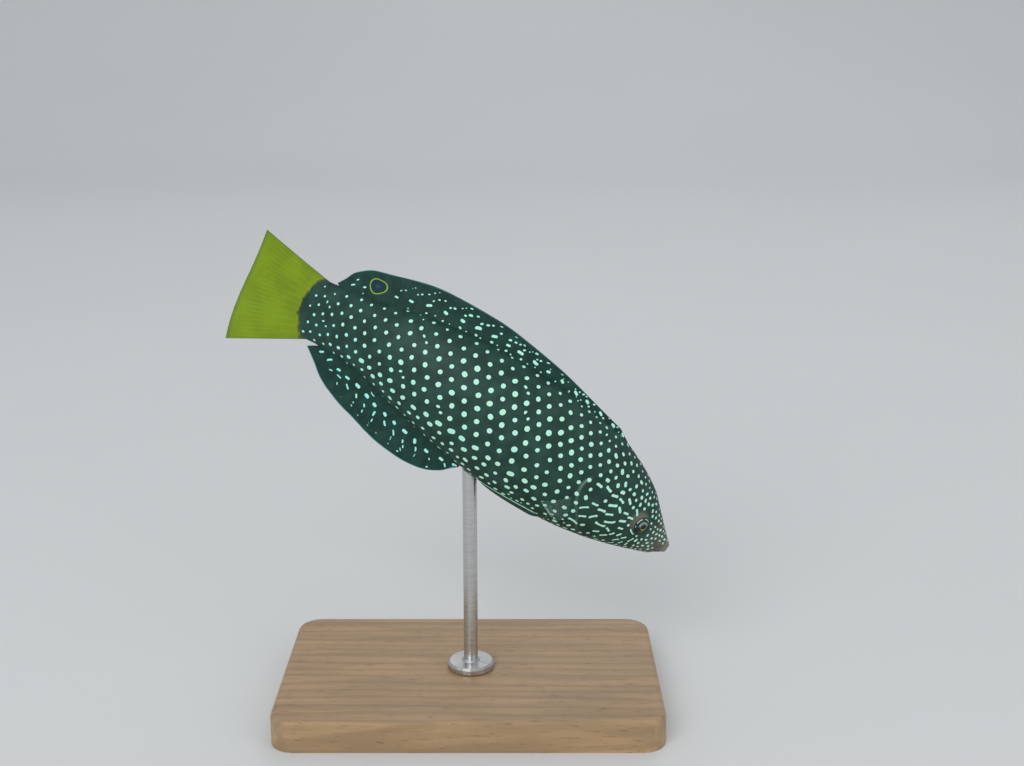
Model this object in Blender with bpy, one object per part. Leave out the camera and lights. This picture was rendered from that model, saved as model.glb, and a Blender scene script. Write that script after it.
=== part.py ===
"""A yellowtail wrasse, life size and still, on a small display stand.

Metres, +Z up. The origin is under the middle of the stand's base, and the fish's right side faces -Y.
The fish is modelled in its own frame, x towards the snout, y to its left and z to its back, round a
bent spine, and one empty then pitches and banks all of it over the stand. A station is a place along
the fish, from 0 at the tip of the snout to 1 at the root of the tail fin. Measures of the fish are
shares of its standard length, unless a name ends in a unit of its own.
"""

import math

import bmesh
import bpy
import numpy as np
from mathutils import Euler, Matrix, Vector

# Size of the whole fish and how it hangs in the water
STANDARD_LENGTH = 0.116
HEADING = math.radians(-6.7)
NOSE_DOWN = math.radians(35.4)
BANK = math.radians(-3.4)
SNOUT_CLEARANCE = 0.026
SNOUT_LOW_POINT = -0.0164

# Bends of the spine: the head turns left and the tail sweeps left, so the fish is a shallow C
MID_STATION = 0.45
HEAD_TURN = math.radians(25.0)
HEAD_TURN_ENDS = (0.20, 0.55)
HEAD_DROOP = math.radians(6.6)
HEAD_DROOP_ENDS = (0.22, 0.50)
TAIL_TURN = math.radians(-25.2)
TAIL_TURN_ENDS = (0.52, 1.00)
TAIL_DROOP = math.radians(-15.8)
TAIL_DROOP_ENDS = (0.60, 1.02)
SPINE_STATIONS = np.linspace(-0.06, 1.36, 285)

# Outline of the body above and below its axis, and half its width
PROFILE_STATIONS = (0.0, 0.03, 0.08, 0.14, 0.22, 0.32, 0.45, 0.60, 0.75, 0.88, 1.0, 1.04)
BACK_HEIGHTS = (0.0095, 0.0265, 0.0575, 0.0935, 0.1225, 0.1445, 0.151, 0.14, 0.11, 0.078, 0.069, 0.069)
BELLY_DEPTHS = (0.0135, 0.0303, 0.0495, 0.0705, 0.0925, 0.111, 0.12, 0.1135, 0.095, 0.0735, 0.067, 0.067)
HALF_WIDTHS = (0.012, 0.024, 0.0375, 0.0515, 0.064, 0.0715, 0.0725, 0.065, 0.048, 0.03, 0.013, 0.0085)
BACK_SHARPNESS = 1.15
BELLY_SHARPNESS = 0.98
RING_POINTS = 40
SNOUT_SLANT = (0.006, 0.021)

# The thin cuts that part head, torso and tail stem, and the gap between pieces that touch
GAP = 0.0003 / STANDARD_LENGTH
STEM_STATION = 0.80
TAIL_ARC = 0.031
TAIL_ARC_POWER = 1.8
GILL_HEIGHTS = (-1.0, -0.75, -0.45, -0.15, 0.15, 0.5, 1.0)
GILL_STATIONS = (0.205, 0.248, 0.279, 0.309, 0.323, 0.300, 0.245)
GILL_LIFT = 0.0030
GILL_LIFT_LENGTH = 0.05

# Face
EYE_STATION = 0.132
EYE_HEIGHT = 0.0182
EYE_RADIUS = 0.0250
EYE_HALF_DEPTH = 0.0190
EYE_SUNK = 0.0120
MOUTH_CORNER = 0.040
MOUTH_HALF_WIDTH = 0.0235
MOUTH_ROUNDING = 1.7
UPPER_LIP_STATION = 0.0088
UPPER_LIP_RADII = (0.0085, 0.0044)
UPPER_LIP_HEIGHT = 0.0015
UPPER_LIP_DROP = 0.009
LOWER_LIP_STATION = 0.0165
LOWER_LIP_RADII = (0.0070, 0.0044)
LOWER_LIP_HEIGHT = -0.0175
LOWER_LIP_DROP = 0.005
MOUTH_SLIT = 0.0028
SLIT_STATION = 0.0125
SLIT_HEIGHT = -0.0085
SLIT_DROP = 0.0065
SLIT_REACH = (-0.018, 0.010)
SLIT_WIDENING = (1.25, 0.72)
NOSTRIL_RADIUS = 0.0034
NOSTRILS = ((0.092, 0.036), (0.108, 0.041))

# Fins: how many rays, and half thicknesses of web and ray at root and tip in metres
DORSAL_RAYS = 21
ANAL_RAYS = 15
CAUDAL_RAYS = 13
PECTORAL_RAYS = 10
PELVIC_RAYS = 6
WEB_HALF = (0.00030, 0.00026)
RAY_HALF = (0.00058, 0.00034)
RAY_WIDTH_SHARE = 0.24
MEDIAN_ROWS = (0.0, 0.2, 0.42, 0.64, 0.84, 1.0)
MEDIAN_RISE = 0.92

DORSAL_BASE = (0.275, 0.965)
DORSAL_EDGE_STATIONS = (0.285, 0.35, 0.50, 0.65, 0.80, 0.90, 0.945, 0.960, 0.975)
DORSAL_HEIGHTS = (0.008, 0.011, 0.033, 0.054, 0.067, 0.060, 0.040, 0.021, 0.005)
DORSAL_SWEEP = (0.034, 0.010)
DORSAL_MID_SWEEP = -0.028

ANAL_BASE = (0.53, 0.962)
ANAL_EDGE_STATIONS = (0.537, 0.56, 0.60, 0.66, 0.75, 0.83, 0.90, 0.93, 0.962, 0.990)
ANAL_HEIGHTS = (0.008, 0.038, 0.064, 0.080, 0.087, 0.085, 0.0725, 0.060, 0.034, 0.012)
ANAL_SWEEP = (0.007, 0.028)
ANAL_MID_SWEEP = 0.10

CAUDAL_TIP_STATIONS = (1.203, 1.194)
CAUDAL_TIP_BULGE = 0.006
CAUDAL_TIPS = (0.117, -0.143)
CAUDAL_WEB_HALF = (0.00045, 0.00026)
CAUDAL_RAY_HALF = (0.00085, 0.00034)
CAUDAL_ROWS = (0.0, 0.12, 0.3, 0.5, 0.7, 0.87, 1.0)
CAUDAL_WAVE = 0.010
CAUDAL_WAVE_TURN = 2.2

PECTORAL_BASE = ((0.324, -0.018), (0.306, -0.048))
PECTORAL_LENGTHS = (0.125, 0.085)
PECTORAL_FRONT = Vector((-0.62, 0.765, -0.18))
PECTORAL_REAR = Vector((-0.33, 0.925, -0.18))
PECTORAL_ROUNDING = 1.6
PECTORAL_BOW = (-0.012, -0.006, 0.004)
PECTORAL_ROWS = (-0.10, 0.1, 0.3, 0.52, 0.76, 1.0)

PELVIC_STATIONS = (0.334, 0.480)
PELVIC_ANGLES = (math.radians(30.0), math.radians(9.0))
PELVIC_TIP_ANGLE = math.radians(17.0)
PELVIC_ROOT_SPREAD = 0.65
PELVIC_REAR_SHARE = 0.70
PELVIC_ROOT_WIDTH = 0.008
PELVIC_CLEARANCE = 0.004
PELVIC_STAND_OFF = 0.002
PELVIC_ROOT_DEPTH = 0.012
PELVIC_ROWS = (-0.08, 0.02, 0.25, 0.5, 0.76, 1.0)

# Stand, in metres apart from the rod's station
BASE_SIZE = Vector((0.096, 0.060, 0.008))
BASE_CORNER = 0.006
BASE_EDGE = 0.0012
ROD_STATION = 0.506
ROD_RADIUS = 0.0018
ROD_FOOT_RADIUS = 0.0060
ROD_FOOT_HEIGHT = 0.0016
ROD_FOOT_EDGE = 0.0005
ROD_FILLET = 0.0006
ROD_OVERRUN = 0.006
ROD_SIDES = 20
TOUCH_GAP = 0.0003


def smoothstep(low, high, value):
    t = np.clip((value - low) / (high - low), 0.0, 1.0)
    return t * t * (3.0 - 2.0 * t)


def through(knots, values):
    """A smooth curve through the values that never overshoots between two of them."""
    x = np.array(knots, float)
    y = np.array(values, float)
    step = np.diff(x)
    rise = np.diff(y) / step
    slope = np.zeros_like(y)
    slope[0] = rise[0]
    slope[-1] = rise[-1]
    same_way = rise[:-1] * rise[1:] > 0.0
    before = rise[:-1][same_way]
    after = rise[1:][same_way]
    slope[1:-1][same_way] = 2.0 * before * after / (before + after)

    def curve(at):
        at = np.clip(at, x[0], x[-1])
        i = np.clip(np.searchsorted(x, at) - 1, 0, len(step) - 1)
        t = (at - x[i]) / step[i]
        start = (1.0 + 2.0 * t) * (1.0 - t) ** 2 * y[i] + t * t * (3.0 - 2.0 * t) * y[i + 1]
        turn = t * (1.0 - t) ** 2 * slope[i] - t * t * (1.0 - t) * slope[i + 1]
        return start + turn * step[i]

    return curve


back_height = through(PROFILE_STATIONS, BACK_HEIGHTS)
belly_depth = through(PROFILE_STATIONS, BELLY_DEPTHS)
half_width = through(PROFILE_STATIONS, HALF_WIDTHS)
gill_edge = through(GILL_HEIGHTS, GILL_STATIONS)
dorsal_height = through(DORSAL_EDGE_STATIONS, DORSAL_HEIGHTS)
anal_height = through(ANAL_EDGE_STATIONS, ANAL_HEIGHTS)


def bent_spine():
    """Points of the spine with their forward, left and up directions, in the fish's frame."""
    s = SPINE_STATIONS
    yaw = HEAD_TURN * (1.0 - smoothstep(*HEAD_TURN_ENDS, s)) + TAIL_TURN * smoothstep(*TAIL_TURN_ENDS, s)
    dip = HEAD_DROOP * (1.0 - smoothstep(*HEAD_DROOP_ENDS, s)) + TAIL_DROOP * smoothstep(*TAIL_DROOP_ENDS, s)
    forward = np.stack([np.cos(yaw) * np.cos(dip), np.sin(yaw) * np.cos(dip), -np.sin(dip)], 1)
    left = np.stack([-np.sin(yaw), np.cos(yaw), np.zeros_like(yaw)], 1)
    up = np.cross(forward, left)
    steps = -(forward[1:] + forward[:-1]) / 2.0 * (s[1] - s[0])
    points = np.vstack([np.zeros(3), np.cumsum(steps, 0)])
    points -= points[np.argmin(abs(s - MID_STATION))]
    return points, forward, left, up


SPINE = bent_spine()


def place(station, left, up):
    """Where a point beside the spine lies, in metres in the fish's frame."""
    station, left, up = np.broadcast_arrays(*(np.asarray(a, float) for a in (station, left, up)))
    axes = []
    for table in SPINE:
        axes.append(np.stack([np.interp(station, SPINE_STATIONS, table[:, k]) for k in range(3)], -1))
    origin, _, to_left, to_back = axes
    return (origin + to_left * left[..., None] + to_back * up[..., None]) * STANDARD_LENGTH


def gill_cover_lift(station, angle):
    """How far the gill cover's rear edge stands out from the flank."""
    edge = gill_edge(np.cos(angle))
    near = smoothstep(edge - GILL_LIFT_LENGTH, edge, station) * (station <= edge + 1e-9)
    return GILL_LIFT * near * np.sin(angle) ** 2


def flank(station, angle, out=0.0):
    """A point of the body's surface: angle 0 is the back, a right angle is the left side."""
    cosine = np.cos(angle)
    sine = np.sin(angle)
    sharpness = np.where(cosine > 0.0, BACK_SHARPNESS, BELLY_SHARPNESS)
    height = np.where(cosine > 0.0, back_height(station), belly_depth(station)) * cosine
    width = half_width(station) * np.sign(sine) * abs(sine) ** sharpness
    return place(station, width + out * sine, height + out * cosine)


def flank_normal(station, angle):
    """The outward direction of the body's surface."""
    small = 1e-3
    along = flank(station + small, angle) - flank(station - small, angle)
    round_it = flank(station, angle + small) - flank(station, angle - small)
    normal = Vector(np.cross(round_it, along)).normalized()
    outward = Vector(flank(station, angle) - place(station, 0.0, 0.0))
    return normal if normal.dot(outward) > 0.0 else -normal


def material(name, colour, roughness, metallic=0.0):
    """A Principled material of one colour."""
    made = bpy.data.materials.new(name)
    made.use_nodes = True
    shader = made.node_tree.nodes["Principled BSDF"]
    shader.inputs["Base Color"].default_value = (*colour, 1.0)
    shader.inputs["Roughness"].default_value = roughness
    shader.inputs["Metallic"].default_value = metallic
    made.diffuse_color = (*colour, 1.0)
    return made


def solid(name, points, faces, finish, parent=None):
    """A closed mesh object with its faces turned outward."""
    mesh = bpy.data.meshes.new(name)
    mesh.from_pydata([tuple(p) for p in points], [], faces)
    form = bmesh.new()
    form.from_mesh(mesh)
    bmesh.ops.recalc_face_normals(form, faces=form.faces)
    form.to_mesh(mesh)
    form.free()
    mesh.shade_smooth()
    mesh.set_sharp_from_angle(angle=math.radians(40.0))
    made = bpy.data.objects.new(name, mesh)
    bpy.context.scene.collection.objects.link(made)
    made.parent = parent
    if finish:
        mesh.materials.append(finish)
    return made


def remove(thing):
    bpy.data.objects.remove(thing, do_unlink=True)


def keep_largest(mesh):
    """Leaves only the largest closed surface of a mesh."""
    form = bmesh.new()
    form.from_mesh(mesh)
    left = set(form.faces)
    shells = []
    while left:
        shell = set()
        front = [left.pop()]
        while front:
            face = front.pop()
            shell.add(face)
            for edge in face.edges:
                for other in edge.link_faces:
                    if other in left:
                        left.discard(other)
                        front.append(other)
        shells.append(shell)
    largest = max(shells, key=lambda shell: sum(face.calc_area() for face in shell))
    spare = [face for shell in shells if shell is not largest for face in shell]
    bmesh.ops.delete(form, geom=spare, context="FACES")
    form.to_mesh(mesh)
    form.free()


def combine(target, others, operation, solver="EXACT"):
    """Joins the other closed meshes to the target, or cuts them from it, and removes them."""
    group = bpy.data.collections.new("cutters")
    bpy.context.scene.collection.children.link(group)
    for other in others:
        group.objects.link(other)
    step = target.modifiers.new("boolean", "BOOLEAN")
    step.operation = operation
    step.operand_type = "COLLECTION"
    step.collection = group
    step.solver = solver
    bpy.context.view_layer.update()
    graph = bpy.context.evaluated_depsgraph_get()
    mesh = bpy.data.meshes.new_from_object(target.evaluated_get(graph))
    target.modifiers.clear()
    target.data = mesh
    keep_largest(mesh)
    for other in others:
        remove(other)
    bpy.data.collections.remove(group)


def loft(name, first, last, rings, finish, parent, out=0.0, lift=True, noses=(0.0, 0.0)):
    """A length of the body between two edges, each given as a station for every angle.

    noses are how far past its edge each end cap bulges at its middle.
    """
    angles = np.linspace(0.0, 2.0 * math.pi, RING_POINTS, endpoint=False)
    start = np.broadcast_to(first(angles), angles.shape)
    end = np.broadcast_to(last(angles), angles.shape)
    points = []
    for share in np.linspace(0.0, 1.0, rings):
        stations = start + (end - start) * share
        raised = gill_cover_lift(stations, angles) if lift else 0.0
        points.extend(flank(stations, angles, raised + out))
    faces = []
    for ring in range(rings - 1):
        for k in range(RING_POINTS):
            a = ring * RING_POINTS + k
            b = ring * RING_POINTS + (k + 1) % RING_POINTS
            faces.append((a, b, b + RING_POINTS, a + RING_POINTS))
    for ring, stations, nose in ((0, start, noses[0]), (rings - 1, end, noses[1])):
        middle = len(points)
        points.append(place(float(np.mean(stations)) + nose, 0.0, 0.0))
        for k in range(RING_POINTS):
            a = ring * RING_POINTS + k
            b = ring * RING_POINTS + (k + 1) % RING_POINTS
            faces.append((a, b, middle))
    return solid(name, points, faces, finish, parent)


def tube(name, centres, radii, sides=8):
    """A closed round tube through the centres, with pointed end caps."""
    centres = [Vector(c) for c in centres]
    points = []
    faces = []
    count = len(centres)
    for i, (centre, radius) in enumerate(zip(centres, radii)):
        along = (centres[min(i + 1, count - 1)] - centres[max(i - 1, 0)]).normalized()
        side = along.orthogonal().normalized() if i == 0 else (side - along * side.dot(along)).normalized()
        other = along.cross(side)
        for k in range(sides):
            turn = 2.0 * math.pi * k / sides
            points.append(centre + (side * math.cos(turn) + other * math.sin(turn)) * radius)
    for i in range(count - 1):
        for k in range(sides):
            a = i * sides + k
            b = i * sides + (k + 1) % sides
            faces.append((a, b, b + sides, a + sides))
    for ring, inner in ((0, 1), (count - 1, count - 2)):
        tip = centres[ring] + (centres[ring] - centres[inner]).normalized() * radii[ring] * 0.7
        middle = len(points)
        points.append(tip)
        for k in range(sides):
            faces.append((ring * sides + k, ring * sides + (k + 1) % sides, middle))
    return solid(name, points, faces, None)


def ball(name, centre, turn, radii, finish=None, parent=None, rows=8, columns=16):
    """An ellipsoid whose third radius lies along the turned z axis."""
    mesh = bpy.data.meshes.new(name)
    form = bmesh.new()
    bmesh.ops.create_uvsphere(form, u_segments=columns, v_segments=rows, radius=1.0)
    size = Matrix.Diagonal((*radii, 1.0))
    bmesh.ops.transform(form, matrix=size, verts=form.verts)
    form.to_mesh(mesh)
    form.free()
    mesh.shade_smooth()
    if finish:
        mesh.materials.append(finish)
    made = bpy.data.objects.new(name, mesh)
    bpy.context.scene.collection.objects.link(made)
    made.location = centre
    made.rotation_euler = turn.to_euler()
    made.parent = parent
    return made


def angle_at(station, height, side):
    """The angle round the body at which its surface has the given height."""
    reach = back_height(station) if height > 0.0 else belly_depth(station)
    return side * math.acos(height / float(reach))


def snout_end(angle):
    """Station of the head's blunt front edge, which recedes from the back down to the chin."""
    return SNOUT_SLANT[0] + (SNOUT_SLANT[1] - SNOUT_SLANT[0]) * (1.0 - np.cos(angle)) / 2.0


def along_mouth(front, along):
    """Stations of a lip, or of the slit between the lips, from one mouth corner to the other."""
    return front + (MOUTH_CORNER - front) * abs(along) ** MOUTH_ROUNDING


def build_head(finish, pose):
    """Head with the gill cover's edge, eye sockets, lips, mouth line and nostrils."""
    head = loft("head", snout_end, lambda a: gill_edge(np.cos(a)), 22, finish, pose, noses=(-0.001, -0.01))
    lips = []
    along = np.linspace(-1.0, 1.0, 15)
    sides = MOUTH_HALF_WIDTH * np.sin(along * math.pi / 2.0)
    for name, front, ends, height, drop in (
            ("upper_lip", UPPER_LIP_STATION, UPPER_LIP_RADII, UPPER_LIP_HEIGHT, UPPER_LIP_DROP),
            ("lower_lip", LOWER_LIP_STATION, LOWER_LIP_RADII, LOWER_LIP_HEIGHT, LOWER_LIP_DROP)):
        radii = (ends[0] + (ends[1] - ends[0]) * abs(along)) * STANDARD_LENGTH
        lips.append(tube(name, place(along_mouth(front, along), sides, height - drop * along**2), radii))
        lips[-1].parent = pose
    combine(head, lips, "UNION")

    # The slit runs from outside both lips to a little way behind them
    cuts = []
    heights = SLIT_HEIGHT - SLIT_DROP * along**2
    stations = along_mouth(SLIT_STATION, along)
    outer, inner = (place(stations + reach, sides * widening, heights)
                    for reach, widening in zip(SLIT_REACH, SLIT_WIDENING))
    half_slit = Vector(SPINE[3][0]) * MOUTH_SLIT * STANDARD_LENGTH / 2.0
    points = []
    for row in (outer, inner):
        points.extend(Vector(p) + half_slit for p in row)
        points.extend(Vector(p) - half_slit for p in row)
    count = len(along)
    faces = []
    for k in range(count - 1):
        top_out, low_out, top_in, low_in = (k + count * row for row in range(4))
        faces.append((top_out, top_out + 1, top_in + 1, top_in))
        faces.append((low_out, low_in, low_in + 1, low_out + 1))
        faces.append((top_out, low_out, low_out + 1, top_out + 1))
        faces.append((top_in, top_in + 1, low_in + 1, low_in))
    for k in (0, count - 1):
        faces.append((k, k + count, k + 3 * count, k + 2 * count))
    cuts.append(solid("mouth_slit", points, faces, None, pose))
    for side in (1, -1):
        centre, turn = eye_place(side)
        radii = [(r + GAP) * STANDARD_LENGTH for r in (EYE_RADIUS, EYE_RADIUS, EYE_HALF_DEPTH)]
        cuts.append(ball("socket", centre, turn, radii, parent=pose))
        for station, height in NOSTRILS:
            angle = angle_at(station, height, side)
            spot = Vector(flank(station, angle))
            pit = [NOSTRIL_RADIUS * STANDARD_LENGTH] * 3
            cuts.append(ball("nostril", spot, Matrix.Identity(3), pit, parent=pose, rows=6, columns=8))
    combine(head, cuts, "DIFFERENCE", "MANIFOLD")
    return head


def eye_place(side):
    """Centre and turn of one eyeball."""
    angle = angle_at(EYE_STATION, EYE_HEIGHT, side)
    normal = flank_normal(EYE_STATION, angle)
    centre = Vector(flank(EYE_STATION, angle)) - normal * EYE_SUNK * STANDARD_LENGTH
    turn = normal.to_track_quat("Z", "Y").to_matrix()
    return centre, turn


def build_eyes(finish, pose):
    for side, name in ((1, "eye_left"), (-1, "eye_right")):
        centre, turn = eye_place(side)
        radii = [r * STANDARD_LENGTH for r in (EYE_RADIUS, EYE_RADIUS, EYE_HALF_DEPTH)]
        ball(name, centre, turn, radii, finish, pose)


def build_trunk(finish, pose):
    """Torso and tail stem, parted from the head and from each other by thin cuts."""
    loft("torso", lambda a: gill_edge(np.cos(a)) + GAP, lambda a: STEM_STATION - GAP / 2.0 + 0.0 * a,
         26, finish, pose, lift=False, noses=(-0.01, 0.0))
    loft("tail_stem", lambda a: STEM_STATION + GAP / 2.0 + 0.0 * a, lambda a: stem_end(np.cos(a)),
         12, finish, pose, lift=False)


def stem_end(height):
    """Station of the tail stem's round rear edge, for a height from -1 to 1."""
    return 1.0 + TAIL_ARC * (1.0 - abs(height) ** TAIL_ARC_POWER)


def fin(name, rays, rows, surface, finish, pose, web=WEB_HALF, ray=RAY_HALF):
    """A fin as one closed sheet with its rays raised on both faces.

    surface gives the middle of the sheet for u, across the rays, and v, from root to tip. Both faces
    are split into triangles alike, so that they never cross.
    """
    across = []
    raised = []
    foot = RAY_WIDTH_SHARE / (rays - 1)
    for k in range(rays):
        centre = k / (rays - 1)
        for u, on_ray in ((centre - foot, False), (centre, True), (centre + foot, False)):
            if -1e-9 < u < 1.0 + 1e-9:
                across.append(u)
                raised.append(on_ray)
    u, v = np.meshgrid(across, rows, indexing="ij")
    middle = surface(u, v)
    along_u = np.gradient(middle, axis=0)
    along_v = np.gradient(middle, axis=1)
    normal = np.cross(along_u, along_v)
    normal /= np.linalg.norm(normal, axis=2, keepdims=True)
    share = np.clip(v, 0.0, 1.0)
    thin = web[0] + (web[1] - web[0]) * share
    thick = ray[0] + (ray[1] - ray[0]) * share
    half = np.where(np.array(raised)[:, None], thick, thin)[..., None]
    points = list((middle + normal * half).reshape(-1, 3)) + list((middle - normal * half).reshape(-1, 3))
    wide, high = u.shape
    face_size = wide * high

    def at(i, j, side):
        return side * face_size + i * high + j

    faces = []
    for side in (0, 1):
        for i in range(wide - 1):
            for j in range(high - 1):
                faces.append((at(i, j, side), at(i + 1, j, side), at(i + 1, j + 1, side)))
                faces.append((at(i, j, side), at(i + 1, j + 1, side), at(i, j + 1, side)))
    for i in range(wide - 1):
        for j in (0, high - 1):
            faces.append((at(i, j, 0), at(i + 1, j, 0), at(i + 1, j, 1)))
            faces.append((at(i, j, 0), at(i + 1, j, 1), at(i, j, 1)))
    for j in range(high - 1):
        for i in (0, wide - 1):
            faces.append((at(i, j, 0), at(i, j + 1, 0), at(i, j + 1, 1)))
            faces.append((at(i, j, 0), at(i, j + 1, 1), at(i, j, 1)))
    return solid(name, points, faces, finish, pose)


def build_dorsal_fin(finish, pose):
    """Dorsal fin along the back: folded down in front and raised behind."""
    def surface(u, v):
        root = DORSAL_BASE[0] + (DORSAL_BASE[1] - DORSAL_BASE[0]) * u
        edge = root + DORSAL_SWEEP[0] * (1.0 - u) + DORSAL_SWEEP[1] * u + DORSAL_MID_SWEEP * u * (1.0 - u)
        station = root + (edge - root) * v
        height = dorsal_height(edge) * v**MEDIAN_RISE
        return place(station, 0.0, back_height(station) + GAP + height)

    fin("dorsal_fin", DORSAL_RAYS, MEDIAN_ROWS, surface, finish, pose)


def build_anal_fin(finish, pose):
    """Anal fin under the rear half, spread, with its rear corner reaching the tail's root."""
    def surface(u, v):
        root = ANAL_BASE[0] + (ANAL_BASE[1] - ANAL_BASE[0]) * u
        edge = root + ANAL_SWEEP[0] * (1.0 - u) + ANAL_SWEEP[1] * u + ANAL_MID_SWEEP * u * (1.0 - u)
        station = root + (edge - root) * v
        height = anal_height(edge) * v**MEDIAN_RISE
        return place(station, 0.0, -belly_depth(station) - GAP - height)

    fin("anal_fin", ANAL_RAYS, MEDIAN_ROWS, surface, finish, pose)


def build_caudal_fin(finish, pose):
    """Tail fin, spread and nearly straight behind, growing from the stem's round end."""
    def surface(u, v):
        level = 2.0 * u - 1.0
        root = stem_end(level) + GAP
        root_height = np.where(level > 0.0, back_height(root), belly_depth(root)) * level
        tip = CAUDAL_TIP_STATIONS[1] + (CAUDAL_TIP_STATIONS[0] - CAUDAL_TIP_STATIONS[1]) * u
        tip = tip + CAUDAL_TIP_BULGE * (1.0 - level**2)
        tip_height = CAUDAL_TIPS[1] + (CAUDAL_TIPS[0] - CAUDAL_TIPS[1]) * u
        station = root + (tip - root) * v
        height = root_height + (tip_height - root_height) * v
        side = CAUDAL_WAVE * v**2 * np.sin(level * CAUDAL_WAVE_TURN)
        return place(station, side, height)

    fin("caudal_fin", CAUDAL_RAYS, CAUDAL_ROWS, surface, finish, pose, CAUDAL_WEB_HALF, CAUDAL_RAY_HALF)


def build_pectoral_fins(finish, pose, body):
    """Pectoral fins at the end of their down stroke, held out and down from the flanks."""
    for side, name in ((1, "pectoral_fin_left"), (-1, "pectoral_fin_right")):
        (front_station, front_height), (rear_station, rear_height) = PECTORAL_BASE

        def surface(u, v):
            station = front_station + (rear_station - front_station) * u
            height = front_height + (rear_height - front_height) * u
            angle = side * np.arccos(height / belly_depth(station))
            root = flank(station, angle)
            front = np.array(PECTORAL_FRONT.normalized())
            rear = np.array(PECTORAL_REAR.normalized())
            way = front + (rear - front) * u[..., None]
            way /= np.linalg.norm(way, axis=-1, keepdims=True)
            length = PECTORAL_LENGTHS[0] + (PECTORAL_LENGTHS[1] - PECTORAL_LENGTHS[0]) * u**PECTORAL_ROUNDING
            bow = np.array(PECTORAL_BOW) * (v**2)[..., None]
            local = way * (length * v)[..., None] + bow
            _, forward, left, up = (np.array([np.interp(front_station, SPINE_STATIONS, t[:, k])
                                              for k in range(3)]) for t in SPINE)
            turned = local[..., :1] * forward + local[..., 1:2] * left * side + local[..., 2:] * up
            return root + turned * STANDARD_LENGTH

        made = fin(name, PECTORAL_RAYS, PECTORAL_ROWS, surface, finish, pose)
        combine(made, [copy_of(body)], "DIFFERENCE", "MANIFOLD")


def build_pelvic_fins(finish, pose, body):
    """Pelvic fins laid back along the belly, a little clear of it towards their tips."""
    for side, name in ((1, "pelvic_fin_left"), (-1, "pelvic_fin_right")):

        def surface(u, v):
            start, end = PELVIC_STATIONS
            reach = (end - start) * (1.0 + (PELVIC_REAR_SHARE - 1.0) * u)
            station = start + PELVIC_ROOT_WIDTH * u + reach * v
            root_angle = PELVIC_ANGLES[0] + (PELVIC_ANGLES[1] - PELVIC_ANGLES[0]) * u
            spread = 1.0 - PELVIC_ROOT_SPREAD * v**2
            angle = PELVIC_TIP_ANGLE + (root_angle - PELVIC_TIP_ANGLE) * spread
            clear = GAP + PELVIC_CLEARANCE + PELVIC_STAND_OFF * np.clip(v, 0.0, 1.0) ** 0.8
            return flank(station, side * (math.pi - angle), np.where(v < 0.0, -PELVIC_ROOT_DEPTH, clear))

        made = fin(name, PELVIC_RAYS, PELVIC_ROWS, surface, finish, pose)
        combine(made, [copy_of(body)], "DIFFERENCE", "MANIFOLD")


def copy_of(thing):
    twin = thing.copy()
    twin.data = thing.data.copy()
    bpy.context.scene.collection.objects.link(twin)
    return twin


def build_stand(wood, steel, body, contact):
    """A flat base with rounded edges, and one rod with a foot that reaches up to the belly."""
    mesh = bpy.data.meshes.new("stand_base")
    form = bmesh.new()
    bmesh.ops.create_cube(form, size=1.0)
    bmesh.ops.scale(form, vec=BASE_SIZE, verts=form.verts)
    bmesh.ops.translate(form, vec=(0.0, 0.0, BASE_SIZE.z / 2.0), verts=form.verts)
    upright = [e for e in form.edges if abs(e.verts[0].co.z - e.verts[1].co.z) > BASE_SIZE.z / 2.0]
    bmesh.ops.bevel(form, geom=upright, offset=BASE_CORNER, segments=5, profile=0.5, affect="EDGES")
    top = [e for e in form.edges if all(v.co.z > BASE_SIZE.z - 1e-6 for v in e.verts)]
    bmesh.ops.bevel(form, geom=top, offset=BASE_EDGE, segments=3, profile=0.5, affect="EDGES")
    form.to_mesh(mesh)
    form.free()
    mesh.shade_smooth()
    mesh.set_sharp_from_angle(angle=math.radians(30.0))
    mesh.materials.append(wood)
    base = bpy.data.objects.new("stand_base", mesh)
    bpy.context.scene.collection.objects.link(base)

    low = BASE_SIZE.z + TOUCH_GAP
    foot_top = low + ROD_FOOT_HEIGHT
    profile = ((ROD_FOOT_RADIUS, low), (ROD_FOOT_RADIUS, foot_top - ROD_FOOT_EDGE),
               (ROD_FOOT_RADIUS - ROD_FOOT_EDGE, foot_top), (ROD_RADIUS + ROD_FILLET, foot_top),
               (ROD_RADIUS, foot_top + ROD_FILLET), (ROD_RADIUS, contact.z + ROD_OVERRUN))
    points = []
    for radius, height in profile:
        for k in range(ROD_SIDES):
            turn = 2.0 * math.pi * k / ROD_SIDES
            points.append((contact.x + radius * math.cos(turn), contact.y + radius * math.sin(turn), height))
    faces = []
    for ring in range(len(profile) - 1):
        for k in range(ROD_SIDES):
            a = ring * ROD_SIDES + k
            b = ring * ROD_SIDES + (k + 1) % ROD_SIDES
            faces.append((a, b, b + ROD_SIDES, a + ROD_SIDES))
    faces.append(tuple(range(ROD_SIDES)))
    faces.append(tuple(range(len(points) - ROD_SIDES, len(points))))
    rod = solid("stand_rod", points, faces, steel)
    combine(rod, [copy_of(body)], "DIFFERENCE")


def pose_over_stand():
    """The empty that carries the fish, set so that the rod meets the belly over the base's middle."""
    pose = bpy.data.objects.new("wrasse_pose", None)
    bpy.context.scene.collection.objects.link(pose)
    # Bank is applied first, then the pitch, then the heading
    turn = Euler((BANK, NOSE_DOWN, HEADING), "XYZ").to_matrix()
    pose.rotation_euler = turn.to_euler()
    belly = turn @ Vector(place(ROD_STATION, 0.0, -belly_depth(ROD_STATION)))
    snout = turn @ Vector(place(0.0, 0.0, SNOUT_LOW_POINT))
    lift = BASE_SIZE.z + SNOUT_CLEARANCE - snout.z
    pose.location = (-belly.x, -belly.y, lift)
    bpy.context.view_layer.update()
    return pose, Vector((0.0, 0.0, belly.z + lift))


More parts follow.
